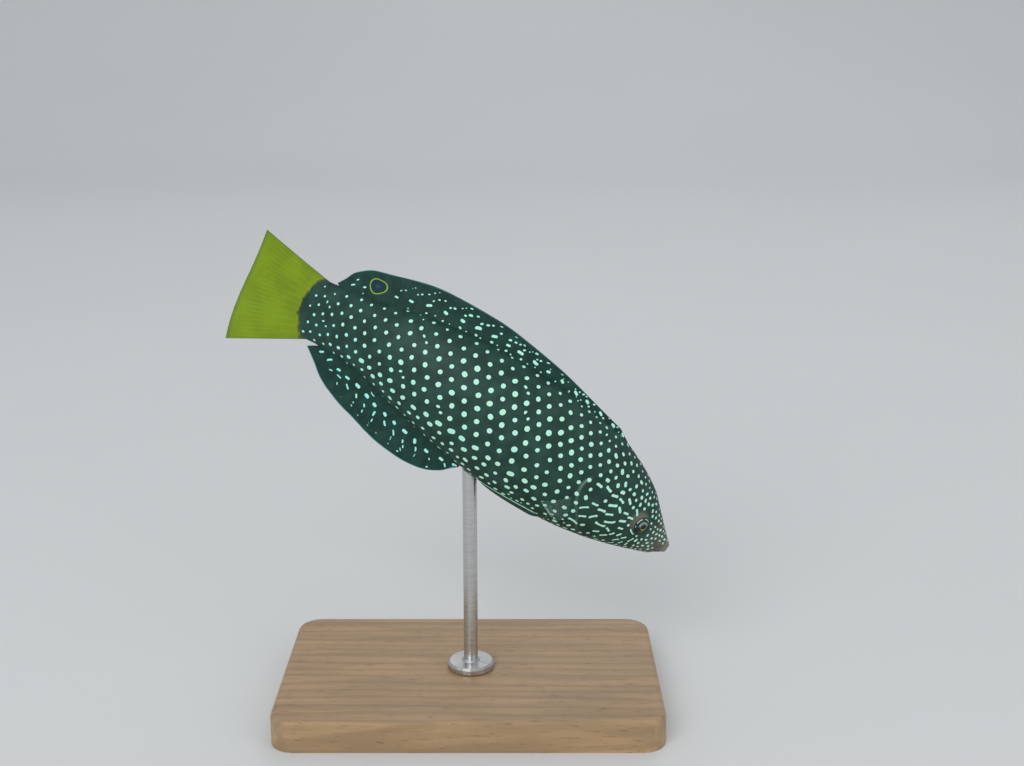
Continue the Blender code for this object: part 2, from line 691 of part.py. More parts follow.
def main():
    for thing in list(bpy.data.objects):
        remove(thing)
    skin = material("spotted_skin", (0.012, 0.055, 0.038), 0.4)
    yellow = material("tail_yellow", (0.24, 0.44, 0.005), 0.45)
    dark_fin = material("dark_fin", (0.010, 0.050, 0.038), 0.45)
    clear_fin = material("clear_fin", (0.45, 0.48, 0.46), 0.35)
    eye = material("eye", (0.05, 0.04, 0.03), 0.15)
    wood = material("oak", (0.42, 0.27, 0.14), 0.5)
    steel = material("steel", (0.6, 0.6, 0.6), 0.3, 1.0)

    pose, contact = pose_over_stand()
    build_head(skin, pose)
    build_eyes(eye, pose)
    build_trunk(skin, pose)
    body = loft("body_clearance", snout_end, lambda a: stem_end(np.cos(a)), 60, None, pose, out=GAP)
    body.hide_render = True
    body.display_type = "WIRE"
    build_dorsal_fin(dark_fin, pose)
    build_anal_fin(dark_fin, pose)
    build_caudal_fin(yellow, pose)
    build_pectoral_fins(clear_fin, pose, body)
    build_pelvic_fins(dark_fin, pose, body)
    build_stand(wood, steel, body, contact)
    remove(body)


main()
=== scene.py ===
"""The looks of a yellowtail wrasse display model, laid out as an add-on and run as a script.

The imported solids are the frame. The body's outline, its bent spine and its pose repeat the measures
of the part's source, so that one skin and finer fins lie where the solids are. Only the chin, which
is shallower, and the pelvic fins, which lie closer to the belly, differ a little. The fish is shaped
in its own frame, x to the snout, y to its left and z to its back, and then carried over the stand.

Lengths are metres, but measures of the fish are shares of its standard length as in the part's
source, and names that end in MM are millimetres. A station runs from 0 at the tip of the snout to 1
at the middle of the tail fin's root, and an angle round the body from 0 at the back to a right angle
at the left side. Fins have a share along their root, u, and a share outward along their rays, v.
"""

import math
from collections import namedtuple

import bpy
import numpy as np
from bpy.props import FloatProperty, FloatVectorProperty, PointerProperty
from bpy.types import Operator, Panel, PropertyGroup
from mathutils import Euler, Matrix, Vector


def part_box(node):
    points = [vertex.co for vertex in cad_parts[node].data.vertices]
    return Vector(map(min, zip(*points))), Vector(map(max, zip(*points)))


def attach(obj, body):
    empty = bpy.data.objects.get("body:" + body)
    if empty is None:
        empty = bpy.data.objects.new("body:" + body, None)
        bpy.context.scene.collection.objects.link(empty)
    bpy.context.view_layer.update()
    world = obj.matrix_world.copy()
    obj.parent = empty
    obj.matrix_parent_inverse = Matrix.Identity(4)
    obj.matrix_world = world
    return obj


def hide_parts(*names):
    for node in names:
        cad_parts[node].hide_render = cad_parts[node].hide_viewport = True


bl_info = {
    "name": "Yellowtail Wrasse Model",
    "version": (1, 0, 0),
    "blender": (4, 5, 0),
    "location": "3D View > Sidebar > Wrasse",
    "description": "Skin, fins, eyes and stand finish of a still fish model",
    "category": "Object",
}

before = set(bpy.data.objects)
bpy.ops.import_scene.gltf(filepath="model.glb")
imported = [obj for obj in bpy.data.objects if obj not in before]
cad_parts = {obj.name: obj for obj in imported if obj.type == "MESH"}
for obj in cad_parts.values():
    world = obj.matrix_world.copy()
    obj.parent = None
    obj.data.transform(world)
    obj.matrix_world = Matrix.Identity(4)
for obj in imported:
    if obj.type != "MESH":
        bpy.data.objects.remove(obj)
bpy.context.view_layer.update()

# Size and pose of the fish, as in the part's source
STANDARD_LENGTH = 0.116
MM = STANDARD_LENGTH * 1000.0
HEADING = math.radians(-6.7)
NOSE_DOWN = math.radians(35.4)
BANK = math.radians(-3.4)
SNOUT_CLEARANCE = 0.026
SNOUT_LOW_POINT = -0.0164
ROD_STATION = 0.506
BASE_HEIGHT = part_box("stand_base")[1].z

# Bends of the spine
MID_STATION = 0.45
HEAD_TURN = math.radians(25.0)
HEAD_TURN_ENDS = (0.20, 0.55)
HEAD_DROOP = math.radians(6.6)
HEAD_DROOP_ENDS = (0.22, 0.50)
TAIL_TURN = math.radians(-25.2)
TAIL_TURN_ENDS = (0.52, 1.00)
TAIL_DROOP = math.radians(-15.8)
TAIL_DROOP_ENDS = (0.60, 1.02)
SPINE_STATIONS = np.linspace(-0.06, 1.36, 285)

# Step for finding directions on a surface, and the share of a height from which outward is told
SMALL_STEP = 1e-3
CORE_SHARE = 0.8

# Fine grids that lengths are measured on: stations and angles of the flank, stations of the lattice,
# and angles and stations of the skin
ARC_GRID = (209, 181)
LATTICE_STEPS = 2081
SKIN_STEPS = (1441, 2001)

# Flat map of a piece: its margin and size, the two faces of a sheet, a sheet's rim and a skin's tips
MAP_MARGIN = 0.01
MAP_SIZE = 0.98
SHEET_MAP_SIZE = (0.98, 0.47)
SHEET_MAP_PLACES = ((0.01, 0.01), (0.01, 0.51))
RIM_MAP = ((0.0, 0.0), (0.002, 0.0), (0.002, 0.002), (0.0, 0.002))
TIP_MAP = 0.004

# Outline of the body above and below its axis, and half its width
PROFILE_STATIONS = (0.0, 0.03, 0.08, 0.14, 0.22, 0.32, 0.45, 0.60, 0.75, 0.88, 1.0, 1.04)
BACK_HEIGHTS = (0.0095, 0.0265, 0.0575, 0.0935, 0.1225, 0.1445, 0.151, 0.14, 0.11, 0.078, 0.069, 0.069)
BELLY_DEPTHS = (0.0135, 0.0303, 0.0495, 0.0705, 0.0925, 0.111, 0.12, 0.1135, 0.095, 0.0735, 0.067, 0.067)
HALF_WIDTHS = (0.012, 0.024, 0.0375, 0.0515, 0.064, 0.0715, 0.0725, 0.065, 0.048, 0.03, 0.013, 0.0085)
BACK_SHARPNESS = 1.15
BELLY_SHARPNESS = 0.98
STEM_STATION = 0.80
TAIL_ARC = 0.031
TAIL_ARC_POWER = 1.8
SNOUT_SLANT = (0.006, 0.021)
SNOUT_SLANT_LENGTH = 0.055
NOSE_REACH = 0.003
NOSE_CAP = 0.98
TAIL_TUCK = 0.013
TAIL_TUCK_NARROWING = 0.80

# Gill cover and cheek plate: the height along each edge as a share of the body's, and its stations
GILL_HEIGHTS = (-1.0, -0.75, -0.45, -0.15, 0.15, 0.5, 1.0)
GILL_STATIONS = (0.205, 0.248, 0.279, 0.309, 0.323, 0.300, 0.245)
GILL_LIFT_MM = 0.30
GILL_LIFT_LENGTH = 0.05
CHEEK_HEIGHTS = (-0.92, -0.70, -0.35, 0.10, 0.45)
CHEEK_STATIONS = (0.105, 0.162, 0.198, 0.214, 0.204)
CHEEK_LIFT_MM = 0.10
CHEEK_LIFT_LENGTH = 0.03
CHEEK_TOP = (0.25, 0.45)
PLATE_DROP_LENGTH = 0.0022
GILL_RIM_MM = 0.23
GILL_RIM_HEIGHTS = (-0.95, -0.6, 0.22, 0.34)
GILL_RIM_PALENESS = (0.20, 0.42)
GILL_RIM_PALER = (0.0, 0.14)

# Face
EYE_STATION = 0.132
EYE_HEIGHT = 0.0182
EYE_RADIUS = 0.0250
EYE_HALF_DEPTH = 0.0190
EYE_SUNK = 0.0120
EYE_OPENING_MM = 2.25
EYE_SOCKET_MM = 1.5
EYE_SOCKET_EDGE_MM = (-0.35, 0.02)
EYE_SURROUND_MM = (6.0, 8.0)
# Painted shade in the crease round the eye's opening: how dark it is, and where it fades past the opening in
# millimetres
EYE_PAINTED_SHADE = 0.7
EYE_PAINTED_SHADE_MM = (-0.05, 0.12)
EYE_BEHIND_MM = -2.0
EYE_GRID = (61, 96)
EYE_TIP_ANGLE = 0.012
CORNEA_BULGE = 0.0016
CORNEA_ANGLE = 0.42
MOUTH_CORNER = 0.040
MOUTH_HALF_WIDTH = 0.0235
MOUTH_HEIGHT = -0.0085
MOUTH_DROP = 0.0065
MOUTH_SLIT_MM = 0.60
MOUTH_SLIT_WIDTH = 0.0013
MOUTH_SLIT_TAPER = 0.3
LIP_ENDS = (0.8, 1.2)
LIP_TAPER = 0.42
LIP_GROOVES = (0.0188, -0.0165)
LIP_GROOVE_WIDTH = 0.0028
LIP_GROOVE_MM = 0.13
BARE_LIPS = (-0.018, 0.021)
LIP_STATIONS = (0.016, 0.042)
UPPER_LIP = (0.0085, 0.0062, 0.26)
LOWER_LIP = (-0.0080, 0.0050, 0.14)
CHIN_ROUNDING_MM = 0.6
CHIN_STATIONS = (0.020, 0.046)
CHIN_LEVELS = (0.2, 0.9)
NOSTRILS = ((0.092, 0.036), (0.108, 0.041))
NOSTRIL_MM = 0.26
NOSTRIL_RIM_MM = 0.11
NOSTRIL_DEPTH_MM = 0.32
NOSTRIL_PIT = (0.4, 1.15)
NOSTRIL_RIM = (1.55, 0.5)
BLUSH_STATIONS = (0.045, 0.125)
BLUSH_SHIFT_MM = (1.8, 0.4)
BLUSH_REACH_MM = (1.9, 3.6)
BLUSH_BEHIND_MM = -1.0

# Folds round the eye: where past its opening, how wide and how high, in millimetres
EYE_RIMS_MM = ((0.34, 0.24, 0.16), (1.0, 0.3, -0.08))

# Skin grid: spacing of its rows along the fish, and its columns round it
ROW_SPACING_STATIONS = (0.0, 0.17, 0.34, 1.0)
ROW_SPACINGS_MM = (0.15, 0.20, 0.31, 0.31)
SKIN_COLUMNS = 212
NOSE_ROWS = 10
TAIL_ROWS = 8

# Lattice of the scales and their spots, from the snout back
LATTICE_STATIONS = (0.0, 0.07, 0.14, 0.21, 0.28, 0.39, 0.48, 0.60, 0.73, 0.82, 0.93, 1.04)
SPOT_PITCHES_MM = (1.3, 1.6, 1.98, 2.45, 2.72, 3.0, 3.35, 3.55, 3.35, 3.5, 3.4, 2.9)
ROW_PITCHES_MM = (1.15, 1.42, 1.82, 2.2, 2.5, 2.9, 3.22, 3.15, 2.88, 2.45, 1.95, 1.6)
ROW_DRIFTS_MM = (0.0, -0.4, -1.0, -1.8, -2.4, -2.9, -2.8, -3.2, -4.3, -4.8, -4.6, -4.0)
SPOT_RADII_MM = (0.25, 0.30, 0.37, 0.44, 0.48, 0.55, 0.61, 0.61, 0.53, 0.46, 0.39, 0.29)
LATTICE_ROWS = 14
BACK_ROW_REACH_MM = 59.0
BELLY_ROW_REACH_MM = 30.0
BELLY_CROWDING = 0.5
BELLY_CROWDING_MM = (2.0, 12.0)
BELLY_CROWDING_STATIONS = (0.22, 0.40)
CROWDED_ROW_MM = 2.45

# Scales: half their length and height as shares of the pitches, their round rim, and where they begin
# and end
SCALE_SHARES = (0.62, 0.92)
SCALE_RIM = 0.80
SCALE_WINDOW = 0.035
SCALES_FROM_GILL = (0.004, 0.03)
SCALES_END = (1.0, 1.03)

# How far spots stray from the lattice, as shares of its pitch, and how close together they settle
SPOT_SEED = 4711
SPOT_STRAY = 0.07
HEAD_STRAY = 0.16
HEAD_STATIONS = (0.24, 0.36)
LOW_FLANK_STRAY = 0.08
LOW_FLANK_MM = (3.0, 12.0)
LEAST_SPACING = 0.90
HEAD_CLOSENESS = 0.06
SETTLE_ROUNDS = 30
SETTLE_SHARE = 0.4

# Where spots are, how large and how blue
SPOTTED_STATIONS = (0.02, 1.02)
BELLY_MARGIN_MM = 0.15
BACK_MARGIN_MM = 0.35
HALF_SPOT_MARGIN_MM = 0.2
EDGE_SHARES = (0.55, 1.0)
EDGE_SPOT_SHARE = 0.62
SPOT_SIZE_STRAY = 0.07
SPOT_LENGTHENING = 0.22
SPOT_WINDOW = 0.03
TONE_STRAY = 0.25
REAR_BLUE = 0.55
REAR_STATIONS = (0.5, 1.0)
BACK_BLUE_SHARE = 0.5

# Kinds of longer spots: the share that is such, how far their direction strays, their half lengths, in
# millimetres on the cheek and else as shares of the radius, and their width, waist and bend
Kind = namedtuple("Kind", "share stray lengths width waist bend")
CHEEK_STREAKS = Kind(0.80, 0.26, (0.5, 1.4), 0.82, 0.40, 0.05)
CHEEK_BAND_MM = ((14.0, 34.5), (-7.5, 6.0))
CHEEK_MISSING = 0.26
CHEEK_SPREAD = 0.22
CHEEK_PITCH_MM = 2.5
HEAD_OVALS = Kind(0.65, 0.7, (0.0, 0.7), 1.0, 0.15, 0.15)
HEAD_OVALS_STATION = 0.30
LOW_OVALS = Kind(1.0, 0.3, (0.1, 0.6), 0.74, 0.0, 0.0)
LOW_OVALS_ARC_MM = -5.0
LOW_OVALS_LEAN = 0.12
LOW_OVALS_NARROWING_MM = (5.0, 11.0)

# Spots in two: between which stations, below which arc and what share stays whole, there and
# elsewhere, and each half's place ahead and up, half length and share of the radius
BROKEN_SPOTS = ((0.28, 0.42), -8.5, 0.66)
UNBROKEN_ELSEWHERE = 0.97
SPOT_HALVES = ((-0.55, -0.4, 0.1, 0.62), (0.75, 0.5, 0.2, 0.55))

# How marks that run into each other give way
FARTHEST_MM = 1.5
KEEP_APART_ROUNDS = 14
MARK_REACH_MM = 2.2
MARK_GAP_MM = 0.36
LARGER_BY = 1.3
ROUND_MM = 0.1
ROUND_SHRINKING = 0.96
STREAK_SHRINKING = 0.985
SHORTENING = 0.86
SMALLEST_MARK_MM = 0.13

# The bare ring round the eye, and the long dash in it: degrees, reach, half length, radius, bend
# and tone
BARE_MM = 3.58
BARE_SHIFT_MM = (0.75, 0.35)
ORBIT_DASH = (-112.0, 3.0, 1.05, 0.18, 0.12, 0.2)
ORBIT_DASH_CLEAR_MM = 1.65

# Fins: rays, and the outlines of the part's source but for how far the pelvic fins are from the belly
DORSAL_RAYS = 21
DORSAL_SPINES = 9
DORSAL_BASE = (0.275, 0.965)
DORSAL_EDGE_STATIONS = (0.285, 0.35, 0.50, 0.65, 0.80, 0.90, 0.945, 0.960, 0.975)
DORSAL_HEIGHTS = (0.008, 0.011, 0.033, 0.054, 0.067, 0.060, 0.040, 0.021, 0.005)
DORSAL_SWEEP = (0.034, 0.010)
DORSAL_MID_SWEEP = -0.028
ANAL_RAYS = 15
ANAL_BASE = (0.53, 0.962)
ANAL_EDGE_STATIONS = (0.537, 0.56, 0.60, 0.66, 0.75, 0.83, 0.90, 0.93, 0.962, 0.990)
ANAL_HEIGHTS = (0.008, 0.038, 0.064, 0.080, 0.087, 0.085, 0.0725, 0.060, 0.034, 0.012)
ANAL_SWEEP = (0.007, 0.028)
ANAL_MID_SWEEP = 0.10
MEDIAN_RISE = 0.92
CAUDAL_RAYS = 13
CAUDAL_TIP_STATIONS = (1.194, 1.203)
CAUDAL_TIP_BULGE = 0.006
CAUDAL_TIPS = (-0.143, 0.117)
CAUDAL_WAVE = 0.010
CAUDAL_WAVE_TURN = 2.2
PECTORAL_RAYS = 13
PECTORAL_BASE = ((0.324, -0.018), (0.306, -0.048))
PECTORAL_LENGTHS = (0.125, 0.085)
PECTORAL_FRONT = (-0.62, 0.765, -0.18)
PECTORAL_REAR = (-0.33, 0.925, -0.18)
PECTORAL_ROUNDING = 1.6
PECTORAL_BOW = (-0.012, -0.006, 0.004)
PELVIC_RAYS = 6
PELVIC_STATIONS = (0.334, 0.480)
PELVIC_ANGLES = (math.radians(30.0), math.radians(9.0))
PELVIC_TIP_ANGLE = math.radians(17.0)
PELVIC_ROOT_SPREAD = 0.65
PELVIC_REAR_SHARE = 0.70
PELVIC_ROOT_WIDTH = 0.008
PELVIC_CLEARANCE = 0.0014
PELVIC_STAND_OFF = 0.0012
PELVIC_STAND_OFF_POWER = 0.8
PELVIC_ROOT_DEPTH = 0.008
PELVIC_ROOT_RISE = (-0.08, 0.02)

# Marks that repeat on every ray of a fin: share of its height, how many rays forward of its own, half
# length and radius in millimetres, and degrees that its front end leans outward
DORSAL_MARKS = (
    (0.07, 0.0, 0.12, 0.28, 0.0), (0.06, 0.42, 0.08, 0.19, 0.0), (0.31, 0.0, 0.42, 0.39, -8.0),
    (0.53, 0.13, 0.20, 0.25, 40.0), (0.60, 0.45, 0.22, 0.26, 20.0), (0.69, 0.75, 0.18, 0.23, 25.0),
    (0.76, 1.02, 0.24, 0.20, 10.0), (0.86, 1.32, 0.22, 0.18, 15.0))
ANAL_MARKS = (
    (0.15, 0.22, 0.55, 0.15, 12.0), (0.27, 0.0, 0.36, 0.47, 18.0), (0.48, 0.56, 0.50, 0.25, 55.0),
    (0.64, 0.80, 0.40, 0.20, 75.0), (0.73, 0.92, 0.34, 0.18, 25.0), (0.82, 0.95, 0.16, 0.21, 10.0))
PLAIN_EDGE_MM = 0.95
MISSING_MARKS = 0.10
LARGE_MARK_MM = 0.3
MARK_PLACE = 0.3
MARK_ENDS = (0.015, 0.975)
MARK_REAR = (0.6, 0.9)
MARK_SIZE = 0.93
MARK_FRONT_THINNING = 0.25
MARK_LENGTHS = (0.5, 1.3)
MARK_STRAY = (0.05, 0.018)
MARK_TURN_STRAY = 0.22
MARK_SIZE_STRAY = 0.08
MARK_TONE_STRAY = 0.15
MARK_BEND_STRAY = 0.15

# How the marks lean, thin and lengthen towards the fin's rear, and their blue in front and at the rear
RearChange = namedtuple("RearChange", "lean thinning lengthening blue")
DORSAL_REAR = RearChange(4.0, 0.42, 0.0, (0.1, 0.5))
ANAL_REAR = RearChange(-32.0, 0.48, 0.5, (0.35, 0.85))

# How far along a fin its marks may reach, and how strong its pale edge is
DORSAL_WINDOW = 0.04
ANAL_WINDOW = 0.05
DORSAL_EDGE_STRENGTH = 0.4
ANAL_EDGE_STRENGTH = 0.9

# The fins' sheets. Each fork of a ray has the shares outward where it starts and ends, and its spread
# in ray spacings. Half the thickness tapers by so much to that of the edge; rays add to it, at their
# root and at their tip.
Fin = namedtuple("Fin", "columns rows root rays forks ray_width_mm unforked"
                        " taper_mm taper_power edge_half_mm ray_half_mm")
DORSAL_FIN = Fin(361, 40, -0.4, DORSAL_RAYS, ((0.35, 0.95, 0.20),), 0.24, DORSAL_SPINES,
                 0.20, 1.0, 0.10, (0.07, 0.04))
ANAL_FIN = Fin(301, 52, -0.14, ANAL_RAYS, ((0.3, 0.9, 0.20),), 0.26, 0, 0.22, 1.0, 0.10, (0.08, 0.04))
CAUDAL_FIN = Fin(313, 96, -0.045, CAUDAL_RAYS, ((0.14, 0.55, 0.24), (0.5, 0.95, 0.125)), 0.19, 0,
                 0.58, 1.4, 0.13, (0.05, 0.02))
PECTORAL_FIN = Fin(157, 60, -0.05, PECTORAL_RAYS, ((0.3, 0.9, 0.22),), 0.15, 2,
                   0.22, 1.5, 0.05, (0.06, 0.03))
PELVIC_FIN = Fin(73, 70, -0.08, PELVIC_RAYS, ((0.4, 0.95, 0.20),), 0.20, 1, 0.18, 1.0, 0.12, (0.16, 0.09))
FOOT_MM = 0.26
FOOT_REACH_MM = 2.2
SCALLOP_MM = 0.18
SCALLOPED = (0.85, 1.0)
MEDIAN_EDGE = (0.93, 1.0)
MEDIAN_EDGE_THINNING = 0.5
CAUDAL_EDGE = (0.95, 1.0)
CAUDAL_EDGE_THINNING = 0.55
PELVIC_EDGE = (0.0, 0.14)
PELVIC_EDGE_SHARE = 0.25

# Frayed rear edge of the tail fin: its threads, their stray, how far webs draw in, and where it begins
FRAY_THREADS = 157
FRAY_MM = 0.025
FRAY_WEB_MM = 0.03
FRAYED = (0.8, 1.0)

# Ripples of the dorsal and anal fins: waves in radians along the fin, where they start and their height
DORSAL_RIPPLE = (17.0, 0.0, 0.22)
ANAL_RIPPLE = (20.0, 1.0, 0.30)

# The eye spot on the dorsal fin, as shares of the fin's length and height
EYE_SPOT_PLACE = (0.8765, 0.447)
EYE_SPOT_MM = (2.55, 1.88)
EYE_SPOT_CLEAR_MM = 0.5
EYE_SPOT_LOBES = (0.07, 3.0, 0.8)

# Camera: where it stands from the middle of the fish
CAMERA_FROM_FISH = Vector((-0.0027, -0.3357, 0.1056))
CAMERA_TILT = math.radians(75.0)
CAMERA_LENS_MM = 50.0
CAMERA_CLIP = (0.01, 20.0)

# Stage: the floor's front end, where it bends up, its bend's radius, its top and half its width, and
# the soft lights' places from the middle of the fish, sizes and shares of the key light's power
FLOOR_FRONT = -1.6
FLOOR_REAR = 1.1
FLOOR_BEND = 0.8
FLOOR_TOP = 2.6
FLOOR_HALF_WIDTH = 2.6
STAGE_LIGHTS = (("key", (-0.60, -1.25, 0.95), 1.1, 1.0),
                ("fill", (1.30, -0.95, 0.60), 1.2, 0.35),
                ("back", (0.25, 0.95, 1.10), 1.0, 0.25))

# Colours without a setting of their own, and how closely joints cross the rays, in radians a millimetre
SPOT_HALO = (0.002, 0.036, 0.020)
# Painted shade laid into the mouth's slit, the nostrils' pits and the crease round each eye
PAINTED_SHADE_COLOUR = (0.012, 0.010, 0.009)
PUPIL_COLOUR = (0.002, 0.002, 0.003)
SKY_COLOUR = (0.92, 0.96, 1.0)
JOINT_FREQUENCY = 13.0


def smoothstep(low, high, value):
    t = np.clip((value - low) / (high - low), 0.0, 1.0)
    return t * t * (3.0 - 2.0 * t)


def bump(value, middle, width):
    """A bell of height 1 at the middle."""
    return np.exp(-(((value - middle) / width) ** 2))


def between(ends, share):
    """The value at that share of the way from the first end to the second."""
    return ends[0] + (ends[1] - ends[0]) * share


def through(knots, values):
    """A smooth curve through the values that never overshoots between two of them."""
    x = np.array(knots, float)
    y = np.array(values, float)
    step = np.diff(x)
    rise = np.diff(y) / step
    slope = np.zeros_like(y)
    slope[0] = rise[0]
    slope[-1] = rise[-1]
    same_way = rise[:-1] * rise[1:] > 0.0
    before = rise[:-1][same_way]
    after = rise[1:][same_way]
    slope[1:-1][same_way] = 2.0 * before * after / (before + after)

    def curve(at):
        at = np.clip(at, x[0], x[-1])
        i = np.clip(np.searchsorted(x, at) - 1, 0, len(step) - 1)
        t = (at - x[i]) / step[i]
        start = (1.0 + 2.0 * t) * (1.0 - t) ** 2 * y[i] + t * t * (3.0 - 2.0 * t) * y[i + 1]
        turn = t * (1.0 - t) ** 2 * slope[i] - t * t * (1.0 - t) * slope[i + 1]
        return start + turn * step[i]

    return curve


back_height = through(PROFILE_STATIONS, BACK_HEIGHTS)
belly_depth = through(PROFILE_STATIONS, BELLY_DEPTHS)
half_width = through(PROFILE_STATIONS, HALF_WIDTHS)
gill_edge = through(GILL_HEIGHTS, GILL_STATIONS)
cheek_edge = through(CHEEK_HEIGHTS, CHEEK_STATIONS)
dorsal_height = through(DORSAL_EDGE_STATIONS, DORSAL_HEIGHTS)
anal_height = through(ANAL_EDGE_STATIONS, ANAL_HEIGHTS)
spot_pitch = through(LATTICE_STATIONS, SPOT_PITCHES_MM)
row_pitch = through(LATTICE_STATIONS, ROW_PITCHES_MM)
row_drift = through(LATTICE_STATIONS, ROW_DRIFTS_MM)
spot_radius = through(LATTICE_STATIONS, SPOT_RADII_MM)


def bent_spine():
    """Points of the spine with their forward, left and up directions, in the fish's frame."""
    s = SPINE_STATIONS
    yaw = HEAD_TURN * (1.0 - smoothstep(*HEAD_TURN_ENDS, s))
    yaw = yaw + TAIL_TURN * smoothstep(*TAIL_TURN_ENDS, s)
    dip = HEAD_DROOP * (1.0 - smoothstep(*HEAD_DROOP_ENDS, s))
    dip = dip + TAIL_DROOP * smoothstep(*TAIL_DROOP_ENDS, s)
    forward = np.stack([np.cos(yaw) * np.cos(dip), np.sin(yaw) * np.cos(dip), -np.sin(dip)], 1)
    left = np.stack([-np.sin(yaw), np.cos(yaw), np.zeros_like(yaw)], 1)
    up = np.cross(forward, left)
    steps = -(forward[1:] + forward[:-1]) / 2.0 * (s[1] - s[0])
    points = np.vstack([np.zeros(3), np.cumsum(steps, 0)])
    points -= points[np.argmin(abs(s - MID_STATION))]
    return points, forward, left, up


SPINE = bent_spine()


def spine_axes(station):
    """Origin, forward, left and up of the spine at each station."""
    station = np.asarray(station, float)
    return [np.stack([np.interp(station, SPINE_STATIONS, table[:, k]) for k in range(3)], -1)
            for table in SPINE]


def place(station, left, up):
    """Where a point beside the spine lies, in metres in the fish's frame."""
    station, left, up = np.broadcast_arrays(*(np.asarray(a, float) for a in (station, left, up)))
    origin, _, to_left, to_back = spine_axes(station)
    return (origin + to_left * left[..., None] + to_back * up[..., None]) * STANDARD_LENGTH


def section(station, angle):
    """How far left and up of the spine the body's surface lies."""
    cosine = np.cos(angle)
    sine = np.sin(angle)
    sharpness = np.where(cosine > 0.0, BACK_SHARPNESS, BELLY_SHARPNESS)
    up = np.where(cosine > 0.0, back_height(station), belly_depth(station)) * cosine
    return half_width(station) * np.sign(sine) * abs(sine) ** sharpness, up


def flank(station, angle, out=0.0):
    """A point of the body's surface."""
    left, up = section(station, angle)
    return place(station, left + out * np.sin(angle), up + out * np.cos(angle))


def unit(vectors):
    return vectors / np.maximum(np.linalg.norm(vectors, axis=-1, keepdims=True), 1e-12)


def facing(way, other):
    """The way, turned round if it points against the other."""
    return way * math.copysign(1.0, np.dot(way, other))


def flank_axes(station, angle):
    """At a point of the surface: its place, the way to the snout, the way to the back, and outward."""
    here = flank(station, angle)
    ahead = unit(flank(station - SMALL_STEP, angle) - flank(station + SMALL_STEP, angle))
    step = math.copysign(SMALL_STEP, angle)
    upward = unit(flank(station, angle - step) - flank(station, angle + step))
    outward = unit(here - place(station, 0.0, section(station, angle)[1] * CORE_SHARE))
    normal = facing(unit(np.cross(ahead, upward)), outward)
    return here, ahead, facing(unit(np.cross(normal, ahead)), upward), normal


def angle_at(station, height, side):
    """The angle round the body at which its surface has the given height."""
    reach = back_height(station) if height > 0.0 else belly_depth(station)
    return side * math.acos(height / float(reach))


def stem_end(height):
    """Station of the tail stem's round rear edge, for a height from -1 to 1."""
    return 1.0 + TAIL_ARC * (1.0 - abs(height) ** TAIL_ARC_POWER)


def snout_end(angle):
    """Station of the head's blunt front edge, which recedes from the back down to the chin."""
    return between(SNOUT_SLANT, (1.0 - np.cos(angle)) / 2.0)


def eye_place(side):
    """Centre of one eyeball, the way it looks, and the way to the snout and to the back beside it."""
    angle = angle_at(EYE_STATION, EYE_HEIGHT, side)
    here, ahead, upward, normal = flank_axes(EYE_STATION, angle)
    return here - normal * EYE_SUNK * STANDARD_LENGTH, normal, ahead, upward


def pose_matrix():
    """Carries the fish's frame over the stand, as the part's source does."""
    turn = Euler((BANK, NOSE_DOWN, HEADING), "XYZ").to_matrix()
    belly = turn @ Vector(place(ROD_STATION, 0.0, -belly_depth(ROD_STATION)))
    snout = turn @ Vector(place(0.0, 0.0, SNOUT_LOW_POINT))
    move = Vector((-belly.x, -belly.y, BASE_HEIGHT + SNOUT_CLEARANCE - snout.z))
    return Matrix.Translation(move) @ turn.to_4x4()


POSE = pose_matrix()
POSE_ROWS = np.array(POSE)


def to_world(points):
    return points @ POSE_ROWS[:3, :3].T + POSE_ROWS[:3, 3]


def off_axis(points, centre, axis):
    """How far each point lies along an axis and how far away from it, in millimetres."""
    offset = (points - centre) * 1000.0
    along = offset @ axis
    return along, np.sqrt(np.maximum((offset**2).sum(-1) - along**2, 0.0))


Mark = namedtuple("Mark", "station centre ahead upward half_length radius waist bend tone")


def make_mark(station, axes, turn, half_length, radius, waist, bend, tone):
    """A spot or streak, in millimetres, turned by an angle from the way to the snout."""
    centre, ahead, upward, _ = axes
    along = ahead * math.cos(turn) + upward * math.sin(turn)
    across = upward * math.cos(turn) - ahead * math.sin(turn)
    return Mark(station, centre, along, across, half_length, radius, waist, bend, tone)


def mark_field(points, row_places, marks, window):
    """Each grid point's distance to the nearest mark's edge in millimetres, below 0 inside, and its tone."""
    distance = np.full(points.shape[:2], FARTHEST_MM)
    tone = np.full(points.shape[:2], 0.5)
    for mark in marks:
        low, high = np.searchsorted(row_places, (mark.station - window, mark.station + window))
        if high <= low:
            continue
        offset = (points[low:high] - mark.centre) * 1000.0
        x = offset @ mark.ahead
        z = offset @ mark.upward
        off_plane = np.maximum((offset**2).sum(-1) - x * x - z * z, 0.0)
        z = z - mark.bend * x * x
        past = np.maximum(abs(x) - mark.half_length, 0.0)
        to_end = x / (mark.half_length + 1e-6)
        radius = mark.radius * (1.0 - mark.waist * np.clip(1.0 - to_end**2, 0.0, 1.0))
        here = np.sqrt(past * past + z * z + off_plane) - radius
        nearer = here < distance[low:high]
        distance[low:high][nearer] = here[nearer]
        tone[low:high][nearer] = mark.tone
    return distance, tone


def grid_faces(rows, columns, wrap):
    """Corner indices of a grid's quads, with the share of each corner along and across the grid."""
    across = columns if wrap else columns - 1
    i, k = (a.ravel() for a in np.meshgrid(np.arange(rows - 1), np.arange(across), indexing="ij"))
    corners = np.stack([i, i + 1, i + 1, i], 1), np.stack([k, k, k + 1, k + 1], 1)
    index = corners[0] * columns + corners[1] % columns
    shares = np.stack([corners[0] / (rows - 1), corners[1] / across], -1)
    return index, shares


